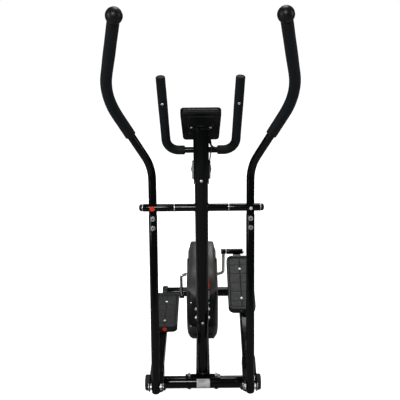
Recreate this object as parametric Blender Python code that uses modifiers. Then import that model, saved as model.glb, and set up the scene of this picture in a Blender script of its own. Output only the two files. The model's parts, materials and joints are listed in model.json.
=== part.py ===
"""Elliptical trainer: floor frame and leaning post, flywheel drive in its housing, swing arms and pedal bars.

Metres, +Z up. The rider faces -Y, so the front stabiliser is towards -Y and the rear one towards +Y.
The origin is on the floor, in the middle of the machine's length and width.
"""

import math

import bmesh
import bpy
from mathutils import Vector

# Floor frame
FOOT_SPAN = 0.85  # from the front stabiliser's axis to the rear one's
FOOT_Z = 0.033
TUBE_R = 0.0245
TUBE_WALL = 0.0015
FOOT_R = 0.0325
FRONT_FOOT_OUT = 0.2075
REAR_FOOT_OUT = 0.2147
FOOT_FACE = 0.0035  # thickness of a foot's outer face
FRONT_FOOT_IN = 0.166
REAR_FOOT_IN = 0.186
SOLE_HALF = 0.022
WHEEL_R = 0.0315
WHEEL_IN = 0.2115
WHEEL_OUT = 0.2335
SPINDLE_R = 0.0046
REACH_FORWARD = 0.30600  # from the front stabiliser's axis to the front of the handle balls
FRONT_Y = (REACH_FORWARD - FOOT_SPAN - FOOT_R) / 2
REAR_Y = FRONT_Y + FOOT_SPAN
BEAM_HALF = 0.028
BEAM_LOW = 0.020
BEAM_TOP = 0.068

# Post, leaning forwards from its foot on the beam
POST_FOOT = Vector((0, FRONT_Y + 0.025, BEAM_TOP))
POST_LEAN = math.radians(4.6)
POST_JOIN = 0.235  # up the post, where the upper tube slides over the lower one
POST_TOP = 1.018
LOWER_POST_R = 0.0220
UPPER_POST_R = 0.0242

# Swing arm pivot, through the post
PIVOT_UP = 0.719
PIVOT = POST_FOOT + PIVOT_UP * Vector((0, -math.sin(POST_LEAN), math.cos(POST_LEAN)))
ARM_X = 0.178
ARM_LENGTH = 0.683
ARM_TILT = math.radians(9.97)
SLEEVE_R = 0.0142
AXLE_R = 0.0080
CROSSBAR_HALF = 0.0975
SLEEVE_OUT = 0.2130
LOWER_ARM_R = 0.0157
UPPER_ARM_R = 0.0148
ARM_DOWN = Vector((0, -math.sin(ARM_TILT), -math.cos(ARM_TILT)))
FORK = PIVOT + ARM_LENGTH * ARM_DOWN

# Crank
CRANK = Vector((0, FRONT_Y + 0.500, 0.289))
CRANK_R = 0.132
CRANK_TO_FORK = math.hypot(CRANK.y - FORK.y, CRANK.z - FORK.z)
CRANK_LEAN = math.atan2(CRANK.z - FORK.z, CRANK.y - FORK.y)  # square to the line of the fork pins
BAR_LENGTH = math.hypot(CRANK_TO_FORK, CRANK_R)
CRANK_ARM_X = 0.100
CRANK_BEND = 0.016
CRANK_RISE = 0.010
CRANK_OFFSET = 0.024  # how far each crank arm runs outwards before its bend
BEARING_IN = 0.020
BEARING_OUT = 0.031
BEARING_R = 0.0204
CRANK_ROD_R = 0.0070
BOSS_R = 0.0125
BOSS_IN = 0.0880
BOSS_OUT = 0.1105

# Pedal bar and footplate, in the bar's own frame: Y along the bar from the fork pin, Z square to it
BAR_HALF = 0.023
BAR_LOW = -0.017
BAR_TOP = 0.038
PLATE_X = 0.164
PLATE_HALF = 0.056
PLATE_START = 0.308
PLATE_END = 0.605
PLATE_LOW = 0.041
PLATE_SURFACE = 0.057
PLATE_RIM = 0.064
PLATE_TOE = 0.069

# Handles: corners of the bent tube above the pivot, as X, Y behind the pivot, Z
HANDLE_BENDS = (
    (Vector((ARM_X, FRONT_Y - 0.014, 0.932)), 0.14),
    (Vector((0.3217, FRONT_Y - 0.110, 1.2018)), 0.22),
)
HANDLE_TOP = Vector((0.2570, FRONT_Y - 0.269, 1.4362))
BALL_R = 0.0265
GRIP_R = 0.0195

# Fixed handlebar, a bent U behind the post
BAR_Y = FRONT_Y + 0.008
BAR_Z = 0.990
FIXED_CORNER = Vector((0.1235, BAR_Y, BAR_Z))
FIXED_TOP = Vector((0.1345, FRONT_Y - 0.080, 1.256))
FIXED_BEND = 0.045
FIXED_R = 0.0108
FIXED_GRIP_R = 0.0165
FIXED_GRIP_IN = 0.058
FIXED_CAP = 0.003  # foam over the end of the bar

# Housing, a rounded box about the flywheel and the crank
HOUSING_Y = FRONT_Y + 0.420
HOUSING_Z = 0.255
HOUSING_LONG = 0.275
HOUSING_HIGH = 0.195
HOUSING_POWER = 2.5
HOUSING_FLOOR = BEAM_TOP + 0.004
HOUSING_RINGS = (  # X, size against the full outline, share of the circle about the crank
    (0.0006, 1.00, 0.0),
    (0.0440, 1.00, 0.0),
    (0.0530, 0.975, 0.0),
    (0.0600, 0.90, 0.0),
    (0.0670, 0.80, 0.25),
    (0.0670, 0.80, 1.0),
)
FLOOR_OPENING = 0.0545
WALL = 0.003

# Drive inside the housing
FLYWHEEL = Vector((0, FRONT_Y + 0.270, 0.290))
FLYWHEEL_R = 0.090
DRIVE_X = 0.040
PULLEY_R = 0.095
SMALL_PULLEY_R = 0.0120
BELT = 0.002

# Ends and pins of the arms and bars
STUB_R = 0.0128
STUB_LENGTH = 0.090
NECK = 0.026
ARM_TAIL = 0.017
GRIP_START = 1.066
FORK_PIN_R = 0.0055
CHEEK_R = 0.024
CHEEK_THICK = 0.0035
BAR_START = 0.053
REAR_SLEEVE_R = 0.0128
REAR_SLEEVE_OUT = 0.187
BAR_END = 0.628
BRACKET_START = 0.600
BRACKET_X = (0.142, 0.178)
BRACKET_Z = (-0.015, 0.0)
CRANK_PIN_R = 0.0060
PLATE_CORNER = 0.024
RIM_WIDTH = 0.008

# Round covers over the crank's openings in the housing
COVER_R = 0.076
COVER_OUT = 0.0715

# Magnet arm
MAGNET_START = math.radians(25)
MAGNET_END = math.radians(105)
MAGNET_ANGLE = math.radians(29)
MAGNET_GAP = 0.004
MAGNET_THICK = 0.011
MAGNET_REACH = FLYWHEEL_R + MAGNET_GAP + MAGNET_THICK / 2
MAGNET_PIVOT = FLYWHEEL + MAGNET_REACH * Vector((0, math.cos(MAGNET_ANGLE), math.sin(MAGNET_ANGLE)))
MAGNET_PIN_R = 0.0028
MAGNET_WIDE = 0.030

# Console, tension dial and cable, behind the post's top
BRACKET_HALF = 0.0275
BRACKET_LOW = 0.810
BRACKET_HIGH = 1.010
CONSOLE_CENTRE = Vector((0, FRONT_Y + 0.026, 1.0725))
CONSOLE_TILT = math.radians(32)
CONSOLE_HIGH = 0.126
CONSOLE_TOP_HALF = 0.070
CONSOLE_LOW_HALF = 0.0625
CONSOLE_SPLIT = 0.012
CONSOLE_DEEP = 0.026
WINDOW_HALF = 0.0355
WINDOW_LOW = 0.006
WINDOW_HIGH = 0.052
BUTTON_Z = -0.032
BUTTON_R = 0.0078
DIAL_UP = 0.852
DIAL_R = 0.0375
CABLE_ROUTE = (
    Vector((0.034, FRONT_Y + 0.0165, 1.046)),
    Vector((0.036, FRONT_Y + 0.002, 1.040)),
    Vector((0.042, FRONT_Y - 0.008, 1.022)),
    Vector((0.043, FRONT_Y - 0.016, 0.996)),
    Vector((0.038, FRONT_Y - 0.026, 0.968)),
    Vector((0.033, FRONT_Y - 0.032, 0.940)),
    Vector((0.0305, FRONT_Y - 0.034, 0.912)),
    Vector((0.0300, FRONT_Y - 0.033, 0.892)),
)

GAP = 0.0003
STEPS = 16


FINISHES = {
    "black_paint": ((0.008, 0.008, 0.010), 0.12, 0.0),
    "black_plastic": ((0.012, 0.012, 0.013), 0.45, 0.0),
    "grey_plastic": ((0.060, 0.060, 0.065), 0.45, 0.0),
    "footplate_plastic": ((0.030, 0.030, 0.032), 0.55, 0.0),
    "black_rubber": ((0.010, 0.010, 0.010), 0.80, 0.0),
    "grip_foam": ((0.015, 0.015, 0.016), 0.90, 0.0),
    "chrome": ((0.62, 0.62, 0.64), 0.12, 1.0),
    "zinc": ((0.50, 0.50, 0.52), 0.30, 1.0),
    "cast_iron": ((0.10, 0.10, 0.11), 0.50, 1.0),
    "display_glass": ((0.020, 0.025, 0.030), 0.10, 0.0),
    "light_plastic": ((0.35, 0.36, 0.38), 0.50, 0.0),
}


def clear_scene():
    for obj in list(bpy.data.objects):
        bpy.data.objects.remove(obj, do_unlink=True)


def new_collection(name):
    collection = bpy.data.collections.new(name)
    bpy.context.scene.collection.children.link(collection)
    return collection


def material(name, colour, roughness, metallic):
    made = bpy.data.materials.new(name)
    made.use_nodes = True
    shader = made.node_tree.nodes["Principled BSDF"]
    shader.inputs["Base Color"].default_value = (*colour, 1)
    shader.inputs["Roughness"].default_value = roughness
    shader.inputs["Metallic"].default_value = metallic
    made.diffuse_color = (*colour, 1)
    return made


def place(name, data, finish=None, parent=None):
    """A new object in the machine's collection, with its material and its parent."""
    obj = bpy.data.objects.new(name, data)
    PARTS.objects.link(obj)
    obj.parent = parent
    if finish is not None:
        data.materials.clear()
        data.materials.append(MATERIALS[finish])
    return obj


def hinge_empty(name, where, tilt=0.0, parent=None):
    """An empty on a joint's axis, turned about X by tilt."""
    empty = bpy.data.objects.new(name, None)
    PARTS.objects.link(empty)
    empty.location = where
    empty.rotation_euler = (tilt, 0, 0)
    empty.parent = parent
    return empty


def box(name, low, high, finish=None, parent=None, bevel=0.0):
    """A box between two corners."""
    mesh = bpy.data.meshes.new(name)
    shape = bmesh.new()
    bmesh.ops.create_cube(shape, size=1)
    low = Vector(low)
    high = Vector(high)
    bmesh.ops.scale(shape, vec=high - low, verts=shape.verts)
    shape.to_mesh(mesh)
    shape.free()
    obj = place(name, mesh, finish, parent)
    obj.location = (low + high) / 2
    if bevel:
        add_bevel(obj, bevel)
    return obj


def add_bevel(obj, width, segments=2):
    bevel = obj.modifiers.new("rounded", "BEVEL")
    bevel.width = width
    bevel.segments = segments
    bevel.limit_method = "ANGLE"
    bevel.angle_limit = math.radians(40)


def turned(
    name, profile, finish=None, parent=None, where=(0, 0, 0), along="X", side=1, steps=STEPS, ring=False
):
    """A profile of (radius, height) points, from the top down its outer side, turned about an axis.

    A ring's profile closes on itself, so the piece has a bore.
    """
    mesh = bpy.data.meshes.new(name)
    points = [(radius, 0, height) for radius, height in profile]
    edges = [(i, i + 1) for i in range(len(points) - 1)]
    if ring:
        edges.append((len(points) - 1, 0))
    mesh.from_pydata(points, edges, [])
    obj = place(name, mesh, finish, parent)
    screw = obj.modifiers.new("turned", "SCREW")
    screw.steps = steps
    screw.render_steps = steps
    screw.use_merge_vertices = True
    screw.merge_threshold = 0.00001
    screw.use_smooth_shade = True
    obj.location = where
    if along == "X":
        obj.rotation_euler = (0, math.radians(90) * side, 0)
    elif along == "Y":
        obj.rotation_euler = (math.radians(-90) * side, 0, 0)
    return obj


def rod(name, radius, low, high, finish=None, parent=None, where=(0, 0, 0), along="X", side=1, edge=0.0):
    """A solid round bar from low to high along its axis, with its ends bevelled by edge."""
    if edge:
        outside = [(radius - edge, high), (radius, high - edge), (radius, low + edge), (radius - edge, low)]
    else:
        outside = [(radius, high), (radius, low)]
    return turned(name, [(0, high), *outside, (0, low)], finish, parent, where, along, side)


def sleeve(name, outer, inner, low, high, finish=None, parent=None, where=(0, 0, 0), along="X", side=1):
    """A tube open at both ends."""
    profile = [(inner, high), (outer, high), (outer, low), (inner, low)]
    return turned(name, profile, finish, parent, where, along, side, ring=True)


def dome(name, radius, start, length, finish, parent=None, where=(0, 0, 0), side=1, bore=0.0):
    """A cap with a rounded nose, from start outwards along X; a bore goes part of the way in."""
    nose = length * 0.55
    turns = [math.radians(90 * (1 - step / 4)) for step in range(5)]
    profile = [(radius * math.cos(turn), start + length - nose + nose * math.sin(turn)) for turn in turns]
    profile[0] = (0, start + length)
    profile.append((radius, start))
    if bore:
        depth = start + length * 0.4
        profile += [(bore, start), (bore, depth), (0, depth)]
    else:
        profile.append((0, start))
    return turned(name, profile, finish, parent, where, "X", side)


def rounded_path(corners, steps_per_turn=9.0):
    """Points along straight runs joined by arcs: each corner is (point, bend radius)."""
    points = [corners[0][0].copy()]
    for before, here, after in zip(corners, corners[1:], corners[2:]):
        into = (here[0] - before[0]).normalized()
        out = (after[0] - here[0]).normalized()
        turn = into.angle(out)
        reach = here[1] * math.tan(turn / 2)
        start = here[0] - into * reach
        inward = (out - into * out.dot(into)).normalized()
        centre = start + inward * here[1]
        count = max(2, round(math.degrees(turn) / steps_per_turn))
        for step in range(count + 1):
            angle = turn * step / count
            points.append(centre - inward * here[1] * math.cos(angle) + into * here[1] * math.sin(angle))
    points.append(corners[-1][0].copy())
    return points


def tube(name, points, radius, finish=None, parent=None, roundness=4):
    """A bent round bar through the points, as a curve with a bevel and filled caps."""
    curve = bpy.data.curves.new(name, "CURVE")
    curve.dimensions = "3D"
    curve.bevel_depth = radius
    curve.bevel_resolution = roundness
    curve.use_fill_caps = True
    spline = curve.splines.new("POLY")
    spline.points.add(len(points) - 1)
    for node, point in zip(spline.points, points):
        node.co = (*point, 1)
    spline.use_smooth = True
    return place(name, curve, finish, parent)


def as_mesh(obj, finish=None):
    """The same shape as a mesh object, its caps welded, so that it takes a Boolean."""
    bpy.context.view_layer.update()
    evaluated = obj.evaluated_get(bpy.context.evaluated_depsgraph_get())
    mesh = bpy.data.meshes.new_from_object(evaluated)
    shape = bmesh.new()
    shape.from_mesh(mesh)
    bmesh.ops.remove_doubles(shape, verts=shape.verts, dist=0.00001)
    shape.to_mesh(mesh)
    shape.free()
    name = obj.name
    parent = obj.parent
    matrix = obj.matrix_world.copy()
    bpy.data.objects.remove(obj, do_unlink=True)
    made = place(name, mesh, finish, parent)
    made.name = name
    made.matrix_world = matrix
    return made


def combine(target, operation, *others):
    """Boolean modifiers on the target; the other shapes become hidden helpers."""
    for other in others:
        boolean = target.modifiers.new(other.name, "BOOLEAN")
        boolean.operation = operation
        boolean.solver = "EXACT"
        boolean.object = other
        other.hide_render = True
        other.display_type = "WIRE"
        for held in list(other.users_collection):
            held.objects.unlink(other)
        HELPERS.objects.link(other)
    return target


def smooth(obj, angle=35):
    if obj.type == "MESH":
        obj.data.shade_smooth()
        obj.data.set_sharp_from_angle(angle=math.radians(angle))


def main_frame(post):
    """Welded floor frame: beam, lower post, crank hanger, flywheel cheeks and magnet pin."""
    beam = box(
        "main_frame",
        (-BEAM_HALF, FRONT_Y + TUBE_R + GAP, BEAM_LOW),
        (BEAM_HALF, REAR_Y - TUBE_R - GAP, BEAM_TOP),
        "black_paint",
        bevel=0.004,
    )
    post_foot = rod("lower_post", LOWER_POST_R, -0.005, POST_JOIN + 0.04, parent=post, along="Z")
    hanger = box(
        "crank_hanger",
        (-0.015, CRANK.y - 0.0175, BEAM_TOP - 0.01),
        (0.015, CRANK.y + 0.0175, CRANK.z - 0.0065),
    )
    shell = rod("bearing_shell", 0.0245, -0.032, 0.032, where=CRANK)
    foot = box(
        "flywheel_foot",
        (-0.026, FLYWHEEL.y - 0.020, BEAM_TOP - 0.004),
        (0.054, FLYWHEEL.y + 0.020, BEAM_TOP + 0.005),
    )
    cheeks = [
        box(
            f"flywheel_cheek_{label}",
            (low, FLYWHEEL.y - 0.015, BEAM_TOP + 0.001),
            (low + 0.004, FLYWHEEL.y + 0.015, FLYWHEEL.z + 0.018),
        )
        for label, low in (("L", -0.024), ("R", 0.048))
    ]
    tab = box(
        "magnet_tab",
        (-0.0235, FLYWHEEL.y - 0.006, FLYWHEEL.z + 0.005),
        (-0.0205, MAGNET_PIVOT.y + 0.008, MAGNET_PIVOT.z + 0.008),
    )
    pin = rod("magnet_pin", MAGNET_PIN_R, -0.0220, 0.0170, where=MAGNET_PIVOT)
    combine(beam, "UNION", post_foot, hanger, shell, foot, *cheeks, tab, pin)
    bore = rod("crank_bore", BEARING_R + GAP, -0.04, 0.04, where=CRANK)
    axle_bore = rod("flywheel_bore", 0.0063, -0.06, 0.06, where=FLYWHEEL)
    combine(beam, "DIFFERENCE", axle_bore, bore)


def post_and_crossbar(post):
    """The upper post slides over the lower one; the crossbar goes through it."""
    upper = sleeve(
        "upper_post", UPPER_POST_R, LOWER_POST_R + GAP, POST_JOIN, POST_TOP, "black_paint", post, along="Z"
    )
    hole = rod("crossbar_hole", SLEEVE_R + GAP, -0.05, 0.05, parent=post, where=(0, 0, PIVOT_UP))
    combine(upper, "DIFFERENCE", hole)
    sleeve("pivot_crossbar", SLEEVE_R, AXLE_R + GAP, -CROSSBAR_HALF, CROSSBAR_HALF, "black_paint", where=PIVOT)
    rod("pivot_axle", AXLE_R, -0.2200, 0.2200, "zinc", where=PIVOT)
    for label, side in (("L", -1), ("R", 1)):
        sleeve(
            f"pivot_washer_{label}", 0.0135, AXLE_R + GAP, SLEEVE_OUT + GAP, SLEEVE_OUT + 0.0025, "zinc",
            where=PIVOT, side=side,
        )
        dome(
            f"axle_cap_{label}", 0.0133, SLEEVE_OUT + 0.003, 0.0125, "black_plastic",
            where=PIVOT, side=side, bore=AXLE_R + GAP,
        )


def stabilisers():
    front = Vector((0, FRONT_Y, FOOT_Z))
    rear = Vector((0, REAR_Y, FOOT_Z))
    for name, centre, out in (("front", front, FRONT_FOOT_OUT), ("rear", rear, REAR_FOOT_OUT)):
        half = out - FOOT_FACE - GAP
        sleeve(f"{name}_stabiliser", TUBE_R, TUBE_R - TUBE_WALL, -half, half, "black_paint", where=centre)
    box(
        "stabiliser_plate",
        (-0.071, FRONT_Y - 0.016, FOOT_Z + TUBE_R + GAP),
        (0.071, FRONT_Y + 0.016, FOOT_Z + TUBE_R + 0.0035),
        "black_paint",
    )
    for label, side in (("L", -1), ("R", 1)):
        foot(f"front_foot_{label}", front, side, FRONT_FOOT_IN, FRONT_FOOT_OUT)
        foot(f"rear_foot_{label}", rear, side, REAR_FOOT_IN, REAR_FOOT_OUT)
        wheel = turned(
            f"transport_wheel_{label}",
            [(0.005, WHEEL_OUT - 0.002), (0.012, WHEEL_OUT), (WHEEL_R - 0.0045, WHEEL_OUT),
             (WHEEL_R, WHEEL_OUT - 0.0045), (WHEEL_R, WHEEL_IN + 0.0025), (WHEEL_R - 0.003, WHEEL_IN),
             (0.005, WHEEL_IN)],
            "black_rubber", where=front, side=side, ring=True,
        )
        smooth(wheel)


def foot(name, centre, side, low, high):
    """A moulded foot round the tube's end, with a flat sole and a closed outer face."""
    body = turned(
        name,
        [(0, high), (FOOT_R - 0.004, high), (FOOT_R, high - 0.004), (FOOT_R, low),
         (TUBE_R + GAP, low), (TUBE_R + GAP, high - FOOT_FACE), (0, high - FOOT_FACE)],
        "black_plastic", where=centre, side=side,
    )
    sole = box(
        f"{name}_sole",
        (min(side * low, side * high), centre.y - SOLE_HALF, 0),
        (max(side * low, side * high), centre.y + SOLE_HALF, FOOT_Z - TUBE_R - 0.002),
    )
    combine(body, "UNION", sole)
    if "front" in name:
        spindle = rod(f"{name}_spindle", SPINDLE_R, high - 0.002, WHEEL_OUT + 0.001, where=centre, side=side)
        combine(body, "UNION", spindle)


def swing_arm(label, side):
    """One swing arm: upper unit with its sleeve, foam grip and ball, lower tube and end plug."""
    axis = hinge_empty(f"swing_axis_{label}", PIVOT, -ARM_TILT)
    mirror = Vector((side, 1, 1))
    start = (Vector((ARM_X, PIVOT.y, PIVOT.z)), 0)
    corners = [start, *HANDLE_BENDS, (HANDLE_TOP, 0)]
    path = rounded_path([(point * mirror, bend) for point, bend in corners])
    upper = as_mesh(tube(f"handle_{label}", path, UPPER_ARM_R), "black_paint")
    centre = (side * ARM_X, 0, 0)
    hub = rod(
        f"sleeve_{label}", SLEEVE_R, CROSSBAR_HALF + 0.003, SLEEVE_OUT, where=PIVOT, side=side,
    )
    stub = rod(f"stub_{label}", STUB_R, -STUB_LENGTH, 0.004, parent=axis, where=centre, along="Z")
    neck = rod(f"neck_{label}", UPPER_ARM_R, -NECK, 0.002, parent=axis, where=centre, along="Z")
    combine(upper, "UNION", hub, stub, neck)
    bore = rod(f"arm_bore_{label}", AXLE_R + GAP, 0.08, 0.25, where=PIVOT, side=side)
    combine(upper, "DIFFERENCE", bore)

    grip_end = [point for point in path if point.z > GRIP_START]
    first = path[len(path) - len(grip_end) - 1]
    share = (GRIP_START - first.z) / (grip_end[0].z - first.z)
    grip_end.insert(0, first.lerp(grip_end[0], share))
    grip = as_mesh(tube(f"handle_grip_{label}", grip_end, GRIP_R), "grip_foam")
    hollow = as_mesh(tube(f"grip_hollow_{label}", extended(grip_end, 0.01), UPPER_ARM_R + GAP))
    combine(grip, "DIFFERENCE", hollow)

    along = (path[-1] - path[-2]).normalized()
    ball = bpy.data.meshes.new(f"handle_ball_{label}")
    shape = bmesh.new()
    bmesh.ops.create_uvsphere(shape, u_segments=STEPS, v_segments=10, radius=BALL_R)
    shape.to_mesh(ball)
    shape.free()
    knob = place(f"handle_ball_{label}", ball, "black_plastic")
    knob.location = path[-1] + along * (BALL_R * 0.72 + GAP)
    knob.rotation_euler = along.to_track_quat("Z", "Y").to_euler()
    flat = box(f"ball_flat_{label}", (-0.05, -0.05, -0.05), (0.05, 0.05, -BALL_R * 0.72), parent=knob)
    combine(knob, "DIFFERENCE", flat)

    lower = sleeve(
        f"lower_arm_{label}", LOWER_ARM_R, STUB_R + GAP, -ARM_LENGTH - ARM_TAIL, -NECK - GAP, "black_paint",
        axis, centre, "Z",
    )
    pin_hole = rod(
        f"pin_hole_{label}", FORK_PIN_R + GAP, -0.03, 0.03, parent=axis, where=(side * ARM_X, 0, -ARM_LENGTH),
    )
    combine(lower, "DIFFERENCE", pin_hole)
    tail = -ARM_LENGTH - ARM_TAIL
    turns = [math.radians(30 * step) for step in range(1, 4)]
    plug = turned(
        f"arm_plug_{label}",
        [(0, tail + 0.010), (STUB_R, tail + 0.010), (STUB_R, tail - GAP), (LOWER_ARM_R, tail - GAP)]
        + [(LOWER_ARM_R * math.cos(turn), tail - 0.001 - 0.009 * math.sin(turn)) for turn in turns[:-1]]
        + [(0, tail - 0.010)],
        "black_plastic", axis, centre, "Z",
    )
    smooth(plug)


def extended(points, by):
    """The same points with both ends pushed out along the path."""
    start = points[0] + (points[0] - points[1]).normalized() * by
    end = points[-1] + (points[-1] - points[-2]).normalized() * by
    return [start, *points[1:-1], end]


def pedal(label, side):
    """One pedal bar with its fork and rear sleeve, its pins and its footplate."""
    crank_end = CRANK + side * CRANK_R * Vector((0, -math.sin(CRANK_LEAN), math.cos(CRANK_LEAN)))
    slope = math.atan2(crank_end.z - FORK.z, crank_end.y - FORK.y)
    axis = hinge_empty(f"pedal_axis_{label}", FORK, slope)
    x = side * ARM_X
    bar = box(
        f"pedal_bar_{label}",
        (x - BAR_HALF, BAR_START, BAR_LOW),
        (x + BAR_HALF, BAR_END, BAR_TOP),
        "black_paint", axis, bevel=0.004,
    )
    joined = []
    for edge, word in ((-1, "inner"), (1, "outer")):
        cheek = as_mesh(flat(f"cheek_{word}_{label}", [cheek_outline()], CHEEK_THICK, parent=axis))
        cheek.location.x = x + edge * (BAR_HALF + CHEEK_THICK / 2 - 0.0005)
        joined.append(cheek)
    rear = (0, BAR_LENGTH, 0)
    joined.append(
        rod(f"rear_sleeve_{label}", REAR_SLEEVE_R, BOSS_OUT + 0.002, REAR_SLEEVE_OUT, parent=axis, where=rear, side=side)
    )
    across = sorted(side * edge for edge in BRACKET_X)
    joined.append(
        box(
            f"rear_bracket_{label}",
            (across[0], BRACKET_START, BRACKET_Z[0]), (across[1], BAR_LENGTH, BRACKET_Z[1]),
            "black_paint", axis,
        )
    )
    combine(bar, "UNION", *joined)
    combine(
        bar, "DIFFERENCE",
        rod(f"fork_bore_{label}", FORK_PIN_R + GAP, -0.04, 0.04, parent=axis, where=(x, 0, 0)),
        rod(f"rear_bore_{label}", CRANK_PIN_R + GAP, 0.05, 0.25, parent=axis, where=rear, side=side),
    )
    head = BAR_HALF + 0.0035
    turned(
        f"fork_pin_{label}",
        [(0, head + 0.013), (0.008, head + 0.0115), (0.0125, head + 0.006), (0.0133, head),
         (FORK_PIN_R, head), (FORK_PIN_R, -head),
         (0.0133, -head), (0.0125, -head - 0.006), (0.008, -head - 0.0115), (0, -head - 0.013)],
        "black_plastic", axis, (x, 0, 0), "X", side,
    )
    outer = REAR_SLEEVE_OUT + GAP
    turned(
        f"crank_pin_{label}",
        [(0, outer + 0.006), (0.009, outer + 0.006), (0.011, outer + 0.004), (0.011, outer), (CRANK_PIN_R, outer),
         (CRANK_PIN_R, BOSS_OUT + 0.0012), (0, BOSS_OUT + 0.0012)],
        "zinc", axis, rear, "X", side,
    )
    footplate(label, side, axis)


def cheek_outline():
    """The side of a fork plate: round about the fork pin, square where it is welded to the bar."""
    outline = [(BAR_START + 0.062, -CHEEK_R * 0.9), (BAR_START + 0.062, CHEEK_R * 0.9)]
    for step in range(11):
        angle = math.radians(100 + 160 * step / 10)
        outline.append((CHEEK_R * math.cos(angle), CHEEK_R * math.sin(angle)))
    return outline


def footplate(label, side, axis):
    """A moulded tray: rounded outline, raised rim, higher toe, sunken tread."""
    x = side * PLATE_X
    low = (x - PLATE_HALF, PLATE_START, PLATE_LOW)
    high = (x + PLATE_HALF, PLATE_END, PLATE_TOE)
    mesh = bpy.data.meshes.new(f"footplate_{label}")
    shape = bmesh.new()
    bmesh.ops.create_cube(shape, size=1)
    size = Vector(high) - Vector(low)
    bmesh.ops.scale(shape, vec=size, verts=shape.verts)
    uprights = [
        edge for edge in shape.edges if abs(edge.verts[0].co.z - edge.verts[1].co.z) > size.z / 2
    ]
    bmesh.ops.bevel(shape, geom=uprights, offset=PLATE_CORNER, segments=5, affect="EDGES", profile=0.5)
    # The rim falls from the toe to its common height over the front of the plate
    for point in shape.verts:
        if point.co.z > 0 and point.co.y > -size.y / 2 + PLATE_CORNER * 0.9:
            point.co.z -= PLATE_TOE - PLATE_RIM
    shape.to_mesh(mesh)
    shape.free()
    plate = place(f"footplate_{label}", mesh, "footplate_plastic", axis)
    plate.location = (Vector(low) + Vector(high)) / 2
    tray = box(
        f"tread_{label}",
        (low[0] + RIM_WIDTH, low[1] + RIM_WIDTH * 1.5, PLATE_SURFACE),
        (high[0] - RIM_WIDTH, high[1] - RIM_WIDTH, PLATE_TOE + 0.02),
        parent=axis,
    )
    combine(plate, "DIFFERENCE", tray)


def crank():
    """One bent rod: axle through the frame, an arm each side, a boss at each end, pulley and covers."""
    axis = hinge_empty("crank_axis", CRANK, CRANK_LEAN)
    half = [
        (Vector((CRANK_ARM_X, 0, CRANK_R)), 0),
        (Vector((CRANK_ARM_X, 0, CRANK_RISE)), CRANK_BEND),
        (Vector((CRANK_ARM_X - CRANK_OFFSET, 0, 0)), CRANK_BEND),
    ]
    other = [(-point, turn) for point, turn in reversed(half)]
    path = rounded_path(half + other, 15.0)
    shaft = as_mesh(tube("crank", path, CRANK_ROD_R, parent=axis, roundness=3), "chrome")
    bosses = [
        rod(f"boss_{label}", BOSS_R, BOSS_IN, BOSS_OUT, parent=axis, where=(0, 0, side * CRANK_R), side=side)
        for label, side in (("L", -1), ("R", 1))
    ]
    combine(shaft, "UNION", *bosses)
    sleeve("drive_pulley", PULLEY_R, CRANK_ROD_R + GAP, DRIVE_X - 0.004, DRIVE_X + 0.004, "grey_plastic", axis)
    for label, side in (("L", -1), ("R", 1)):
        cover = turned(
            f"crank_cover_{label}",
            [(CRANK_ROD_R + GAP, COVER_OUT), (COVER_R - 0.012, COVER_OUT), (COVER_R, COVER_OUT - 0.0025),
             (COVER_R, COVER_OUT - 0.005), (CRANK_ROD_R + GAP, COVER_OUT - 0.005)],
            "grey_plastic", axis, side=side, ring=True, steps=24,
        )
        smooth(cover)
        sleeve(
            f"crank_bearing_{label}", BEARING_R, CRANK_ROD_R + GAP, BEARING_IN, BEARING_OUT, "zinc",
            where=CRANK, side=side,
        )


def flywheel():
    """Flywheel with its small pulley on a fixed axle, the belt, and the magnet arm over its rim."""
    turned(
        "flywheel",
        [(0.0063, DRIVE_X + 0.005), (SMALL_PULLEY_R, DRIVE_X + 0.005), (SMALL_PULLEY_R, 0.012), (0.060, 0.008),
         (0.070, 0.013), (FLYWHEEL_R, 0.013), (FLYWHEEL_R, -0.013), (0.070, -0.013), (0.060, -0.008),
         (0.016, -0.010), (0.016, -0.0195), (0.0063, -0.0195)],
        "cast_iron", where=FLYWHEEL, ring=True, steps=20,
    )
    rod("flywheel_axle", 0.0060, -0.0300, 0.0535, "zinc", where=FLYWHEEL)
    drive_belt()
    magnet_arm()


def belt_loop(clearance, thickness):
    """Two outlines of the belt in the Y-Z plane: round both pulleys and straight between them."""
    gap_y = CRANK.y - FLYWHEEL.y
    gap_z = CRANK.z - FLYWHEEL.z
    apart = math.hypot(gap_y, gap_z)
    slope = math.atan2(gap_z, gap_y)
    spread = math.acos((PULLEY_R - SMALL_PULLEY_R) / apart)
    outlines = []
    for extra in (clearance, clearance + thickness):
        points = []
        big = math.pi - spread
        for step in range(25):
            angle = slope - big + 2 * big * step / 24
            radius = PULLEY_R + extra
            points.append((CRANK.y + radius * math.cos(angle), CRANK.z + radius * math.sin(angle)))
        for step in range(9):
            angle = slope + big + 2 * spread * step / 8
            radius = SMALL_PULLEY_R + extra
            points.append((FLYWHEEL.y + radius * math.cos(angle), FLYWHEEL.z + radius * math.sin(angle)))
        outlines.append(points)
    return outlines


def flat(name, outlines, thickness, finish=None, parent=None, where=(0, 0, 0)):
    """Flat outlines drawn in the Y-Z plane, given half their thickness each way along X."""
    curve = bpy.data.curves.new(name, "CURVE")
    curve.dimensions = "2D"
    curve.fill_mode = "BOTH"
    curve.extrude = thickness / 2
    for outline in outlines:
        spline = curve.splines.new("POLY")
        spline.points.add(len(outline) - 1)
        for node, (across, up) in zip(spline.points, outline):
            node.co = (across, up, 0, 1)
        spline.use_cyclic_u = True
    obj = place(name, curve, finish, parent)
    obj.location = where
    obj.rotation_euler = (math.radians(90), 0, math.radians(90))
    return obj


def drive_belt():
    flat("drive_belt", belt_loop(GAP, BELT), 0.007, "black_rubber", where=(DRIVE_X, 0, 0))


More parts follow.
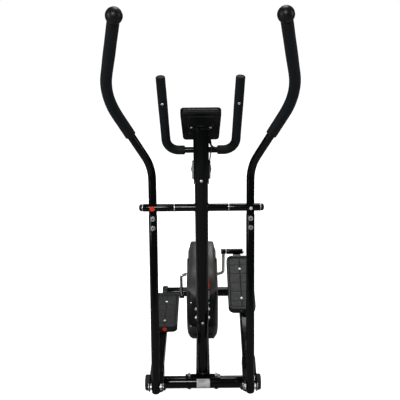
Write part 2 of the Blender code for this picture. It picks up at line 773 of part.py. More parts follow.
def magnet_arm():
    """A curved shoe over the flywheel's rim, hinged at its rear end."""
    axis = hinge_empty("magnet_axis", MAGNET_PIVOT)
    inner = FLYWHEEL_R + MAGNET_GAP
    outer = inner + MAGNET_THICK
    outline = []
    for radius, order in ((outer, range(13)), (inner, range(12, -1, -1))):
        for step in order:
            angle = MAGNET_START + (MAGNET_END - MAGNET_START) * step / 12
            outline.append((
                FLYWHEEL.y + radius * math.cos(angle) - MAGNET_PIVOT.y,
                FLYWHEEL.z + radius * math.sin(angle) - MAGNET_PIVOT.z,
            ))
    shoe = as_mesh(flat("magnet_arm", [outline], MAGNET_WIDE, parent=axis), "grey_plastic")
    combine(shoe, "DIFFERENCE", rod("magnet_bore", MAGNET_PIN_R + 0.0004, -0.03, 0.03, where=MAGNET_PIVOT))


def housing_ring(scale, centre_share, radius, count=40):
    """Points of one ring of the shell: the outline scaled, blended towards a circle about the crank."""
    points = []
    for step in range(count):
        angle = 2 * math.pi * step / count
        cosine = math.cos(angle)
        sine = math.sin(angle)
        power = 2 / HOUSING_POWER
        y = HOUSING_Y + scale * HOUSING_LONG * math.copysign(abs(cosine) ** power, cosine)
        z = HOUSING_Z + scale * HOUSING_HIGH * math.copysign(abs(sine) ** power, sine)
        z = max(z, HOUSING_FLOOR + (1 - scale) * 0.10)
        ring_y = CRANK.y + radius * cosine
        ring_z = CRANK.z + radius * sine
        points.append((
            y + (ring_y - y) * centre_share,
            z + (ring_z - z) * centre_share,
        ))
    return points


def housing():
    """Two half shells that meet on the machine's middle plane, each with a round opening for the crank."""
    for label, side in (("L", -1), ("R", 1)):
        mesh = bpy.data.meshes.new(f"housing_{label}")
        shape = bmesh.new()
        loops = []
        for x, scale, share in HOUSING_RINGS:
            points = housing_ring(scale, share, COVER_R + 0.0015)
            loops.append([shape.verts.new((side * x, y, z)) for y, z in points])
        for first, second in zip(loops, loops[1:]):
            for number in range(len(first)):
                follow = (number + 1) % len(first)
                face = (first[number], first[follow], second[follow], second[number])
                shape.faces.new(face if side > 0 else face[::-1])
        bmesh.ops.recalc_face_normals(shape, faces=shape.faces)
        shape.to_mesh(mesh)
        shape.free()
        shell = place(f"housing_{label}", mesh, "black_plastic")
        wall = shell.modifiers.new("wall", "SOLIDIFY")
        wall.thickness = WALL
        wall.offset = -1
        wall.use_even_offset = True
        open_floor = box(
            f"housing_floor_{label}",
            (-FLOOR_OPENING if side < 0 else -0.01, FLYWHEEL.y - 0.030, HOUSING_FLOOR - 0.01),
            (FLOOR_OPENING if side > 0 else 0.01, CRANK.y + 0.030, HOUSING_FLOOR + 0.03),
        )
        combine(shell, "DIFFERENCE", open_floor)
        smooth(shell)


def console(post):
    """Console on its bracket behind the post's top: back and front shells, display window and button."""
    bracket = box(
        "console_bracket",
        (-BRACKET_HALF, UPPER_POST_R + 0.001, BRACKET_LOW),
        (BRACKET_HALF, UPPER_POST_R + 0.004, BRACKET_HIGH),
        "black_paint", post,
    )
    sides = [
        box(
            f"bracket_side_{label}",
            (side * (BRACKET_HALF - 0.0015) - 0.0015, -0.004, BRACKET_LOW),
            (side * (BRACKET_HALF - 0.0015) + 0.0015, UPPER_POST_R + 0.0035, BRACKET_HIGH),
            parent=post,
        )
        for label, side in (("L", -1), ("R", 1))
    ]
    combine(bracket, "UNION", *sides)
    head = hinge_empty("console_axis", CONSOLE_CENTRE, CONSOLE_TILT)
    console_shell("console_back", 0.0, CONSOLE_SPLIT, head)
    front = console_shell("console_front", CONSOLE_SPLIT + GAP, CONSOLE_DEEP, head)
    combine(
        front, "DIFFERENCE",
        box(
            "window_cut",
            (-WINDOW_HALF - 0.0005, CONSOLE_DEEP - 0.003, WINDOW_LOW - 0.0005),
            (WINDOW_HALF + 0.0005, CONSOLE_DEEP + 0.01, WINDOW_HIGH + 0.0005),
            parent=head,
        ),
        rod(
            "button_cut", BUTTON_R + 0.0005, CONSOLE_DEEP - 0.006, CONSOLE_DEEP + 0.01,
            parent=head, where=(0, 0, BUTTON_Z), along="Y",
        ),
    )
    box(
        "console_window",
        (-WINDOW_HALF, CONSOLE_DEEP - 0.0027, WINDOW_LOW),
        (WINDOW_HALF, CONSOLE_DEEP - 0.0005, WINDOW_HIGH),
        "display_glass", head,
    )
    rod(
        "console_button", BUTTON_R, CONSOLE_DEEP - 0.0030, CONSOLE_DEEP + 0.0025, "light_plastic", head,
        (0, 0, BUTTON_Z), "Y", edge=0.001,
    )


def console_shell(name, near, far, head):
    """A tapered block with rounded corners, from near to far behind the console's back face."""
    mesh = bpy.data.meshes.new(name)
    shape = bmesh.new()
    bmesh.ops.create_cube(shape, size=1)
    for point in shape.verts:
        half = CONSOLE_TOP_HALF if point.co.z > 0 else CONSOLE_LOW_HALF
        point.co = Vector((
            math.copysign(half, point.co.x),
            near if point.co.y < 0 else far,
            math.copysign(CONSOLE_HIGH / 2, point.co.z),
        ))
    uprights = [
        edge for edge in shape.edges if abs(edge.verts[0].co.y - edge.verts[1].co.y) > (far - near) / 2
    ]
    bmesh.ops.bevel(shape, geom=uprights, offset=0.009, segments=4, affect="EDGES", profile=0.5)
    shape.to_mesh(mesh)
    shape.free()
    return place(name, mesh, "black_plastic", head)


def tension(post):
    """Tension unit behind the post: base, dial with its wing, and the sensor cable beside the post."""
    low = UPPER_POST_R + 0.005
    base = box(
        "dial_base",
        (-0.034, low, DIAL_UP - 0.035),
        (0.034, low + 0.012, DIAL_UP + 0.035),
        "light_plastic", post, bevel=0.003,
    )
    bore = rod("dial_hole", 0.0043, low - 0.01, low + 0.03, parent=post, where=(0, 0, DIAL_UP), along="Y")
    combine(base, "DIFFERENCE", bore)
    start = low + 0.012 + GAP
    dial = turned(
        "tension_dial",
        [(0, start + 0.018), (DIAL_R - 0.0075, start + 0.018), (DIAL_R - 0.0035, start + 0.015),
         (DIAL_R, start + 0.004), (DIAL_R, start), (0.004, start), (0.004, start - 0.010), (0, start - 0.010)],
        "black_plastic", post, (0, 0, DIAL_UP), "Y",
    )
    wing = box(
        "dial_wing",
        (-0.006, start + 0.014, DIAL_UP - 0.027),
        (0.006, start + 0.026, DIAL_UP + 0.027),
        parent=post,
    )
    combine(dial, "UNION", wing)


def handlebar():
    """The fixed U handlebar and its two foam grips."""
    mirror = Vector((-1, 1, 1))
    half_path = [(FIXED_CORNER, FIXED_BEND), (FIXED_TOP, 0)]
    other_half = [(point * mirror, bend) for point, bend in reversed(half_path)]
    path = rounded_path(other_half + half_path, 12.0)
    tube("handlebar", path, FIXED_R, "black_paint")
    middle = len(path) // 2
    for label, side in (("L", -1), ("R", 1)):
        half = path[middle:] if side > 0 else path[:middle][::-1]
        covered = [Vector((side * FIXED_GRIP_IN, BAR_Y, BAR_Z)), *half]
        covered[-1] = covered[-1] + (covered[-1] - covered[-2]).normalized() * FIXED_CAP
        grip = as_mesh(tube(f"fixed_grip_{label}", covered, FIXED_GRIP_R), "grip_foam")
        inside = extended(covered, 0.01)
        inside[-1] = half[-1] + (half[-1] - half[-2]).normalized() * GAP
        hollow = as_mesh(tube(f"fixed_hollow_{label}", inside, FIXED_R + GAP))
        combine(grip, "DIFFERENCE", hollow)


def sensor_cable():
    """The lead from the console's back down into the post, in one arch beside it."""
    points = smooth_route(CABLE_ROUTE, 20)
    tube("sensor_cable", points, 0.0022, "black_rubber", roundness=2)


def smooth_route(route, count):
    """Points along one smooth curve through the route's own points."""
    ends = [route[0] * 2 - route[1], *route, route[-1] * 2 - route[-2]]
    spans = len(route) - 1
    points = []
    for step in range(count + 1):
        place_on = step * spans / count
        span = min(int(place_on), spans - 1)
        t = place_on - span
        a, b, c, d = ends[span : span + 4]
        points.append(
            0.5 * (2 * b + (c - a) * t + (2 * a - 5 * b + 4 * c - d) * t**2 + (3 * b - a - 3 * c + d) * t**3)
        )
    return points


def build():
    post = hinge_empty("post_axis", POST_FOOT, POST_LEAN)
    main_frame(post)
    post_and_crossbar(post)
    stabilisers()
    for label, side in (("L", -1), ("R", 1)):
        swing_arm(label, side)
        pedal(label, side)
    crank()
    flywheel()
    housing()
    console(post)
    tension(post)
    handlebar()
    sensor_cable()


clear_scene()
PARTS = new_collection("elliptical_trainer")
HELPERS = new_collection("cutters_and_joined_shapes")
HELPERS.hide_render = True
MATERIALS = {name: material(name, *values) for name, values in FINISHES.items()}
build()
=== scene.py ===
"""Elliptical trainer, its finished surfaces and its studio.

Metres, +Z up. The rider faces -Y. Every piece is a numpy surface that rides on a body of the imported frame.
"""

import json
import math

import bmesh
import bpy
import numpy as np
from bpy.props import FloatProperty, FloatVectorProperty, PointerProperty
from mathutils import Matrix, Vector


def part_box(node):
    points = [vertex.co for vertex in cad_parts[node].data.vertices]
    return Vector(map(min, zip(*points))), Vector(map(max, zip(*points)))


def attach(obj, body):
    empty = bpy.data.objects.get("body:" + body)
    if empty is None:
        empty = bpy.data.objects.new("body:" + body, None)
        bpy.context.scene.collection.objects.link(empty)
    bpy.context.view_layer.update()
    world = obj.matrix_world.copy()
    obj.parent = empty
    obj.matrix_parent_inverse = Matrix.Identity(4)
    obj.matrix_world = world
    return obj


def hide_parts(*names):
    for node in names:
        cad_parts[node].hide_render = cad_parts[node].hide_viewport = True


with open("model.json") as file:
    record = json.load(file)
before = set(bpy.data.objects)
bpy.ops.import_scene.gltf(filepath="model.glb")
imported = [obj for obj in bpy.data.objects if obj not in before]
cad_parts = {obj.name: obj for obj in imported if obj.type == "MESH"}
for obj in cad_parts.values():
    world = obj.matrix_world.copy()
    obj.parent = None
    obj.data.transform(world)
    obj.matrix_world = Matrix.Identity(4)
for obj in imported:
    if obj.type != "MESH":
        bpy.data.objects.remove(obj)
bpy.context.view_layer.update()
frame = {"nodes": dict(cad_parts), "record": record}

bl_info = {
    "name": "Elliptical Trainer",
    "version": (1, 0, 0),
    "blender": (4, 5, 0),
    "location": "3D View > Sidebar > Trainer",
    "description": "Builds the trainer's finished pieces, its finishes and a plain studio",
    "category": "Object",
}

SIDES = (("L", -1), ("R", 1))


def corners_of(node):
    """Lowest and highest corner of a frame node, as arrays."""
    low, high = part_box(node)
    return np.array(low), np.array(high)


def middle_of(node):
    low, high = corners_of(node)
    return (low + high) / 2


def half_of(node):
    low, high = corners_of(node)
    return (high - low) / 2


JOINTS = {joint["name"]: joint for joint in frame["record"]["behaviour"]["joints"]}

# Places from the frame
FRONT = middle_of("front_stabiliser")
REAR = middle_of("rear_stabiliser")
PIVOT = np.array(JOINTS["arm_swing_R"]["pos_m"])
FORK = np.array(JOINTS["pedal_pivot_R"]["pos_m"])
CRANK = np.array(JOINTS["crank_turn"]["pos_m"])
FLYWHEEL = np.array(JOINTS["flywheel_spin"]["pos_m"])
DIAL = np.array(JOINTS["tension_turn"]["pos_m"])
ARM_X = PIVOT[0]
ARM_TILT = math.atan2(PIVOT[1] - FORK[1], PIVOT[2] - FORK[2])
ARM_LENGTH = math.hypot(PIVOT[1] - FORK[1], PIVOT[2] - FORK[2])
POST_LEAN = math.atan2(JOINTS["tension_turn"]["axis"][2], JOINTS["tension_turn"]["axis"][1])
CRANK_LEAN = math.atan2(CRANK[2] - FORK[2], CRANK[1] - FORK[1])
CONSOLE_TILT = math.atan2(-JOINTS["button_press"]["axis"][2], -JOINTS["button_press"]["axis"][1])

# Drops a place's X, so that it lies on the machine's middle plane
ON_CENTRE = np.array((0, 1, 1))
HUB = PIVOT * ON_CENTRE
CRANK_CENTRE = CRANK * ON_CENTRE
FORK_CENTRE = FORK * ON_CENTRE

# Gap between pieces that only touch
CLEAR = 0.0003

# Tubes and post
BEAM_HALF = 0.028
BEAM_LOW = 0.020
BEAM_TOP = 0.068
TUBE_R = half_of("front_stabiliser")[2]
CROSS_R = half_of("pivot_crossbar")[2]
LOWER_POST_R = 0.0220
UPPER_POST_R = 0.0242
PIVOT_UP = 0.719
POST_JOIN = 0.235
POST_TOP = 1.018
FOOT_OUT = {"front": 0.2075, "rear": 0.2147}
WHEEL_STUB_R = 0.0046
ARM_R = 0.0148
LOWER_ARM_R = half_of("lower_arm_R")[0]
GRIP_R = 0.0195
GRIP_START = corners_of("handle_grip_R")[0][2]
BALL_R = 0.0265
# Share of its radius at which the ball is cut flat, on the tube's end
BALL_SEAT = 0.72
ARM_TAIL = 0.017
CAP_R = 0.0133
# Outer end of an arm's hub, and the bore that runs on the axle
HUB_OUT = 0.2130
AXLE_BORE_R = 0.0083
FIXED_R = 0.0108
FIXED_GRIP_R = 0.0165
SLEEVE_LIP = 0.003
BAR_PLACE = (0, FRONT[1] + 0.008, 0.990)

# Crank and pedal bars
CRANK_R = 0.132
CRANK_ARM_X = 0.100
CRANK_ROD_R = 0.0070
BAR_LENGTH = math.hypot(math.hypot(CRANK[1] - FORK[1], CRANK[2] - FORK[2]), CRANK_R)
BAR_HALF = 0.023
BAR_LOW = -0.017
BAR_TOP = 0.038
BAR_END = 0.628
BRACKET_START = 0.600
BRACKET_NEAR = 0.142
BRACKET_FAR = 0.178
CHEEK_R = 0.0175
CRANK_BOSS_OUT = 0.1105
CRANK_PIN_R = 0.0060
FORK_PIN_R = 0.0055
REAR_SLEEVE_OUT = 0.187
PLATE_X = 0.164
PLATE_HALF = 0.056
PLATE_START = 0.308
PLATE_END = 0.605
PLATE_LOW = 0.041
PLATE_SURFACE = 0.057
PLATE_RIM = 0.064
PLATE_TOE = 0.069

# Housing
HOUSING_Y = FRONT[1] + 0.420
HOUSING_Z = 0.255
HOUSING_LONG = 0.275
HOUSING_HIGH = 0.190
HOUSING_POWER = 2.5
HOUSING_FLAT = 0.040
HOUSING_HALF = 0.067
HOUSING_SIDE = 0.80
HOUSING_TAPER = 0.22
HOUSING_WAIST = 0.368
HOUSING_FLOOR = corners_of("housing_R")[0][2]
COVER_R = 0.076

# Console
CONSOLE = np.array((0, FRONT[1] + 0.026, 1.0725))
CONSOLE_HIGH = 0.126
CONSOLE_TOP_HALF = 0.070
CONSOLE_LOW_HALF = 0.0625
CONSOLE_DEEP = 0.026
CONSOLE_SPLIT = 0.012
CABLE_ROUTE = np.array((
    (0.034, 0.0165, 1.046),
    (0.036, 0.002, 1.040),
    (0.042, -0.008, 1.022),
    (0.043, -0.016, 0.996),
    (0.038, -0.026, 0.968),
    (0.033, -0.032, 0.940),
    (0.0305, -0.034, 0.912),
    (0.0300, -0.033, 0.892),
))
GRIP_LEAD = np.array((
    (0.0235, 0.010, 1.044),
    (0.0290, 0.002, 1.024),
    (0.0370, -0.006, 1.0085),
    (0.0480, -0.008, 1.0005),
    (0.0590, -0.001, 0.9955),
    (0.0680, 0.004, 0.9925),
))


# ---------------------------------------------------------------- shapes


def placed(points, origin=(0, 0, 0), tilt=0.0):
    """Points turned about X by tilt and moved to origin."""
    cosine, sine = math.cos(tilt), math.sin(tilt)
    turn = np.array(((1, 0, 0), (0, cosine, sine), (0, -sine, cosine)))
    return np.array(points, float) @ turn + np.array(origin, float)


def along_axis(points, axis):
    """Points whose third value runs along X, Y or Z; the first two follow in cyclic order."""
    return np.roll(points, {"X": 1, "Y": 2, "Z": 0}[axis], axis=-1)


def skin(rings, loop=False, capped=True):
    """Faces between neighbouring closed rings, with a fan to the middle of each end ring."""
    count, size, _ = rings.shape
    index = np.arange(count * size).reshape(count, size)
    beside = np.roll(index, -1, axis=1)
    if loop:
        across = np.roll(beside, -1, axis=0)
        quads = np.stack((index, beside, across, np.roll(index, -1, axis=0)), axis=-1)
        return rings.reshape(-1, 3), quads.reshape(-1, 4).tolist()
    quads = np.stack((index[:-1], beside[:-1], beside[1:], index[1:]), axis=-1).reshape(-1, 4).tolist()
    points = rings.reshape(-1, 3)
    if not capped:
        return points, quads
    points = np.vstack((points, rings[0].mean(axis=0), rings[-1].mean(axis=0)))
    first = np.stack((beside[0], index[0], np.full(size, count * size)), axis=-1)
    last = np.stack((index[-1], beside[-1], np.full(size, count * size + 1)), axis=-1)
    return points, quads + first.tolist() + last.tolist()


def sheet_of(points):
    """Faces of an open grid of points."""
    rows, columns, _ = points.shape
    index = np.arange(rows * columns).reshape(rows, columns)
    quads = np.stack((index[:-1, :-1], index[:-1, 1:], index[1:, 1:], index[1:, :-1]), axis=-1)
    return points.reshape(-1, 3), quads.reshape(-1, 4).tolist()


def eased(profile, size=0.001, arc=4):
    """Each inner corner becomes a curve, (1-t)^2 a + 2t(1-t) c + t^2 b, that keeps within size of it."""
    profile = np.asarray(profile, float)
    before, here, after = profile[:-2], profile[1:-1], profile[2:]
    to_before = before - here
    to_after = after - here
    length_before = np.linalg.norm(to_before, axis=1, keepdims=True)
    length_after = np.linalg.norm(to_after, axis=1, keepdims=True)
    reach = np.minimum(size, np.minimum(length_before, length_after) * 0.45)
    start = here + to_before / length_before * reach
    end = here + to_after / length_after * reach
    t = np.linspace(0, 1, arc + 1)[None, :, None]
    bends = (1 - t) ** 2 * start[:, None] + 2 * t * (1 - t) * here[:, None] + t**2 * end[:, None]
    return np.vstack((profile[:1], bends.reshape(-1, profile.shape[1]), profile[-1:]))


def turned(profile, origin=(0, 0, 0), axis="X", side=1, tilt=0.0, steps=48, flutes=0, depth=0.0):
    """A (radius, height) profile turned about an axis; flutes wave the radius by depth times its cosine."""
    profile = np.asarray(profile, float)
    angle = np.linspace(0, 2 * math.pi, steps, endpoint=False)
    radius = profile[:, :1] * (1 + depth * np.cos(flutes * angle)[None, :])
    height = np.broadcast_to(profile[:, 1:] * side, radius.shape)
    rings = np.stack((radius * np.cos(angle), radius * np.sin(angle), height), axis=-1)
    points, faces = skin(along_axis(rings, axis))
    return placed(points, origin, tilt), faces


def ring(profile, origin=(0, 0, 0), axis="X", side=1, tilt=0.0, steps=48):
    """A closed profile turned about an axis that it doesn't touch."""
    profile = np.asarray(profile, float)
    angle = np.linspace(0, 2 * math.pi, steps, endpoint=False)
    height = np.broadcast_to(profile[:, 1:] * side, (len(profile), steps))
    rings = np.stack((profile[:, :1] * np.cos(angle), profile[:, :1] * np.sin(angle), height), axis=-1)
    points, faces = skin(along_axis(rings, axis), loop=True)
    return placed(points, origin, tilt), faces


def rod(radius, low, high, origin=(0, 0, 0), axis="X", side=1, tilt=0.0, edge=0.001, steps=48):
    """A round bar with eased ends."""
    profile = eased(((0, high), (radius, high), (radius, low), (0, low)), edge)
    return turned(profile, origin, axis, side, tilt, steps)


def pipe(outer, inner, low, high, origin=(0, 0, 0), axis="X", side=1, tilt=0.0, edge=0.0006, steps=48):
    """A tube open at both ends, its rims eased."""
    corners = ((outer, (low + high) / 2), (outer, high), (inner, high), (inner, low), (outer, low))
    profile = eased((*corners, corners[0]), edge)[:-1]
    return ring(profile, origin, axis, side, tilt, steps)


def rounded_rectangle(half_a, half_b, corner, arc=6):
    """An outline of four quarter circles joined by straight sides."""
    quarter = np.repeat(np.arange(4), arc + 1)
    angle = np.tile(np.linspace(0, math.pi / 2, arc + 1), 4) + quarter * math.pi / 2
    middle = quarter * math.pi / 2 + math.pi / 4
    return np.stack((
        np.sign(np.cos(middle)) * (half_a - corner) + corner * np.cos(angle),
        np.sign(np.sin(middle)) * (half_b - corner) + corner * np.sin(angle),
    ), axis=-1)


def slab(outline, low, high, edge=0.001, axis="Z", arc=4):
    """An outline carried from low to high; at both rims it moves in by edge (1 - sin), a quarter circle."""
    along = np.roll(outline, -1, axis=0) - np.roll(outline, 1, axis=0)
    outward = np.stack((along[:, 1], -along[:, 0]), axis=-1)
    outward /= np.linalg.norm(outward, axis=1, keepdims=True)
    phi = np.linspace(0, math.pi / 2, arc + 1)
    inset = np.concatenate((edge * (1 - np.sin(phi)), edge * (1 - np.sin(phi[::-1]))))
    height = np.concatenate((low + edge * (1 - np.cos(phi)), high - edge * (1 - np.cos(phi[::-1]))))
    flat = outline[None] - outward[None] * inset[:, None, None]
    rings = np.concatenate((flat, np.broadcast_to(height[:, None, None], flat[..., :1].shape)), axis=-1)
    return skin(along_axis(rings, axis))


def block(low, high, edge=0.001, corner=0.002, axis="Z", origin=(0, 0, 0), tilt=0.0):
    """A box between two corners, with round uprights and eased rims."""
    low, high = np.array(low, float), np.array(high, float)
    a, b, c = {"X": (1, 2, 0), "Y": (2, 0, 1), "Z": (0, 1, 2)}[axis]
    outline = rounded_rectangle((high[a] - low[a]) / 2, (high[b] - low[b]) / 2, corner)
    outline = outline + np.array(((low[a] + high[a]) / 2, (low[b] + high[b]) / 2))
    points, faces = slab(outline, low[c], high[c], edge, axis)
    return placed(points, origin, tilt), faces


def bent_path(corners, step=math.radians(4)):
    """Straight runs joined by arcs; each corner is (point, bend radius)."""
    points = [np.array(corners[0][0], float)[None]]
    for (before, _), (here, bend), (after, _) in zip(corners, corners[1:], corners[2:]):
        here = np.array(here, float)
        into = here - before
        into /= np.linalg.norm(into)
        out = after - here
        out /= np.linalg.norm(out)
        turn = math.acos(float(into @ out))
        inward = out - into * (out @ into)
        inward /= np.linalg.norm(inward)
        start = here - into * bend * math.tan(turn / 2)
        angle = np.linspace(0, turn, max(3, round(turn / step)))[:, None]
        points.append(start + inward * bend * (1 - np.cos(angle)) + into * bend * np.sin(angle))
    points.append(np.array(corners[-1][0], float)[None])
    return np.vstack(points)


def lengths(path):
    """Distance along the path at each of its points."""
    return np.concatenate(([0], np.cumsum(np.linalg.norm(np.diff(path, axis=0), axis=1))))


def at(path, distance):
    """Points of the path at these distances along it."""
    length = lengths(path)
    return np.stack([np.interp(distance, length, path[:, k]) for k in range(3)], axis=-1)


def tube(path, radius, across=(0, 1, 0), steps=32):
    """A circle carried along a path: centre + radius (cos a n + sin a b), square to the tangent."""
    tangent = np.gradient(path, axis=0)
    tangent /= np.linalg.norm(tangent, axis=1, keepdims=True)
    normal = np.cross(tangent, np.array(across, float))
    normal /= np.linalg.norm(normal, axis=1, keepdims=True)
    other = np.cross(tangent, normal)
    angle = np.linspace(0, 2 * math.pi, steps, endpoint=False)[None, :, None]
    radius = np.broadcast_to(np.asarray(radius, float), len(path))[:, None, None]
    rings = path[:, None] + radius * (np.cos(angle) * normal[:, None] + np.sin(angle) * other[:, None])
    return skin(rings)


def sleeve_round(length, radius, edge, step=0.006):
    """Distances along a soft sleeve and its radius there: both ends close in on a quarter circle of edge."""
    phi = np.linspace(0, math.pi / 2, 7)
    start = edge * (1 - np.cos(phi))
    middle = np.linspace(edge, length - edge, max(4, round(length / step)))[1:-1]
    distance = np.concatenate((start, middle, length - start[::-1]))
    closeness = np.minimum(distance, length - distance)
    fall = np.clip(1 - closeness / edge, 0, 1)
    return distance, radius - edge * (1 - np.sqrt(1 - fall**2))


def smooth_route(route, count=60):
    """Catmull-Rom curve through the route's points."""
    padded = np.vstack((route[0] * 2 - route[1], route, route[-1] * 2 - route[-2]))
    where = np.linspace(0, len(route) - 1, count)
    span = np.minimum(where.astype(int), len(route) - 2)
    t = (where - span)[:, None]
    a, b, c, d = (padded[span + k] for k in range(4))
    return 0.5 * (2 * b + (c - a) * t + (2 * a - 5 * b + 4 * c - d) * t**2 + (3 * b - a - 3 * c + d) * t**3)


def hex_head(across, low, high, origin, axis="Y", side=-1, tilt=0.0):
    """A hexagon bolt head whose top is dished in towards its corners."""
    angle = np.linspace(0, 2 * math.pi, 48, endpoint=False)
    wave = np.cos((angle % (math.pi / 3)) - math.pi / 6)
    outline = (across / 2) / wave[:, None] * np.stack((np.cos(angle), np.sin(angle)), axis=-1)
    outline = outline * np.minimum(1, 1.09 * across / 2 / np.linalg.norm(outline, axis=1, keepdims=True))
    heights = np.array((low, high - 0.0008, high, high))
    scale = np.array((1, 1, 0.93, 0.6))
    rings = np.concatenate((
        outline[None] * scale[:, None, None],
        np.broadcast_to((heights * side)[:, None, None], (4, 48, 1)),
    ), axis=-1)
    points, faces = skin(along_axis(rings, axis))
    return placed(points, origin, tilt), faces


def dome(radius, base, high, count=9):
    """Profile of a dome from its top to its rim: (radius sin a, base + high cos a)."""
    phi = np.linspace(0, math.pi / 2, count)
    return np.stack((radius * np.sin(phi), base + high * np.cos(phi)), axis=-1)


def screw_head(radius, high, origin, axis="Y", side=-1, tilt=0.0):
    """A domed screw head."""
    profile = np.vstack((dome(radius, 0, high, 7), ((0, 0),)))
    return turned(profile, origin, axis, side, tilt, 24)


def weld(path, radius):
    """A closed bead: a ring of small overlapping ripples, radius waved along its length."""
    onward = np.roll(path, -1, axis=0)
    share = np.linspace(0, 1, 6)[:-1, None]
    dense = (path[:, None] + (onward - path)[:, None] * share).reshape(-1, 3)
    ahead = np.roll(dense, -1, axis=0) - np.roll(dense, 1, axis=0)
    ahead /= np.linalg.norm(ahead, axis=1, keepdims=True)
    outward = dense - dense.mean(axis=0)
    outward -= ahead * (outward * ahead).sum(axis=1, keepdims=True)
    outward /= np.linalg.norm(outward, axis=1, keepdims=True)
    upward = np.cross(ahead, outward)
    ripple = radius * (1 + 0.12 * np.abs(np.sin(np.arange(len(dense)) * math.pi / 3)))
    angle = np.linspace(0, 2 * math.pi, 12, endpoint=False)[None, :, None]
    around = np.cos(angle) * outward[:, None] + np.sin(angle) * upward[:, None]
    return skin(dense[:, None] + ripple[:, None, None] * around, loop=True)


def curved_disc(radius, bend, centre):
    """A round label wrapped about an upright tube: angle = across / bend."""
    turn = np.linspace(0, 2 * math.pi, 36, endpoint=False)[None, :]
    reach = np.linspace(0.02, 1, 8)[:, None] * radius
    across, up = reach * np.cos(turn), reach * np.sin(turn)
    rings = np.stack((bend * np.sin(across / bend), -bend * np.cos(across / bend), up), axis=-1) + centre
    points, faces = skin(rings, capped=False)
    return points, faces + [list(range(36))]


# Points nearer than this become one
MERGE = 2e-6


def build(name, parts, finish, body, replaces=(), sharp=35, wall=0.0):
    """One mesh object from (points, faces) parts, with its finish, body and the nodes it stands for."""
    points = np.vstack([part[0] for part in parts])
    start = np.cumsum([0] + [len(part[0]) for part in parts[:-1]])
    faces = []
    for first, part in zip(start.tolist(), parts):
        faces += [[number + first for number in face] for face in part[1]]
    mesh = bpy.data.meshes.new(name)
    mesh.from_pydata(points.tolist(), [], faces)
    shape = bmesh.new()
    shape.from_mesh(mesh)
    bmesh.ops.remove_doubles(shape, verts=shape.verts, dist=MERGE)
    bmesh.ops.dissolve_degenerate(shape, dist=1e-7, edges=shape.edges)
    bmesh.ops.recalc_face_normals(shape, faces=shape.faces)
    if wall:
        middle = Vector(points.mean(axis=0))
        outward = sum(face.normal.dot(face.calc_center_median() - middle) for face in shape.faces)
        if outward < 0:
            bmesh.ops.reverse_faces(shape, faces=shape.faces)
    shape.to_mesh(mesh)
    shape.free()
    mesh.shade_smooth()
    mesh.set_sharp_from_angle(angle=math.radians(sharp))
    obj = bpy.data.objects.new(name, mesh)
    bpy.context.scene.collection.objects.link(obj)
    mesh.materials.append(material(finish))
    if wall:
        solid = obj.modifiers.new("wall", "SOLIDIFY")
        solid.thickness = wall
        solid.offset = -1
    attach(obj, body)
    if replaces:
        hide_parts(*replaces)
    return obj


# ---------------------------------------------------------------- finishes


def linear(text):
    """An sRGB hex colour as linear values."""
    values = np.array([int(text[k : k + 2], 16) for k in (1, 3, 5)]) / 255
    values = np.where(values <= 0.04045, values / 12.92, ((values + 0.055) / 1.055) ** 2.4)
    return (*values.tolist(), 1.0)


def add(tree, kind, settings=None, **sockets):
    """A node with its settings; a socket, by name or as _number, takes a value or a node's output."""
    node = tree.nodes.new(kind)
    for name, value in (settings or {}).items():
        setattr(node, name, value)
    for name, value in sockets.items():
        key = int(name[1:]) if name[1:].isdigit() else name.replace("_", " ")
        socket = node.inputs[key]
        if isinstance(value, bpy.types.NodeSocket):
            tree.links.new(value, socket)
        else:
            socket.default_value = value
    return node


# finish: colour, second colour, patch mm, roughness low, high, patch mm, bump mm, bump height mm
RECIPES = {
    # Powder coat on steel tube, baked: deep black gloss with a faint orange peel
    "powder_coated_steel": ("#050607", "#08090a", 60, 0.10, 0.17, 25, 3.0, 0.012),
    # Injection-moulded ABS with a spark-eroded grain, drawn at 1.2 mm so that it shows
    "moulded_black_abs": ("#08090a", "#0f1011", 30, 0.34, 0.44, 12, 1.2, 0.03),
    # Dark grey ABS of the console's trim and the housing's band
    "moulded_grey_abs": ("#2a2b2d", "#333436", 30, 0.38, 0.48, 12, 1.2, 0.03),
    # Warmer grey ABS panel over the joint of the housing's halves
    "housing_centre_abs": ("#302f2d", "#383634", 40, 0.36, 0.46, 14, 1.2, 0.03),
    # Polypropylene tread: duller, with a coarser grain
    "moulded_polypropylene": ("#1b1c1d", "#232425", 18, 0.42, 0.58, 8, 1.4, 0.05),
    # Vulcanised rubber of wheels, belt and leads: matt, slightly uneven
    "black_rubber": ("#151515", "#1e1e1e", 14, 0.62, 0.80, 6, 1.0, 0.05),
    # Light grey ABS of the tension base and the console's button
    "light_grey_abs": ("#8e9093", "#9b9da0", 25, 0.40, 0.50, 12, 1.2, 0.03),
    # Satin ABS of the crank's round covers; its light, warm colour is a painted reflection of the pinkish
    # light on them
    "satin_abs_painted_reflection": ("#a59c97", "#b5aca6", 25, 0.28, 0.38, 12, 1.2, 0.02),
    # Red self-adhesive vinyl: even colour, slight gloss
    "red_vinyl": ("#d8361c", "#e2452a", 10, 0.30, 0.38, 8, 2.0, 0.01),
    # White vinyl of the label, the dashes and the dial's mark, a little duller
    "white_vinyl": ("#c9c9c6", "#dcdcd9", 9, 0.38, 0.48, 8, 2.0, 0.01),
    # Weld metal under the same paint: rippled and less even
    "weld_bead": ("#0e0f10", "#17181a", 5, 0.22, 0.40, 4, 1.5, 0.15),
}
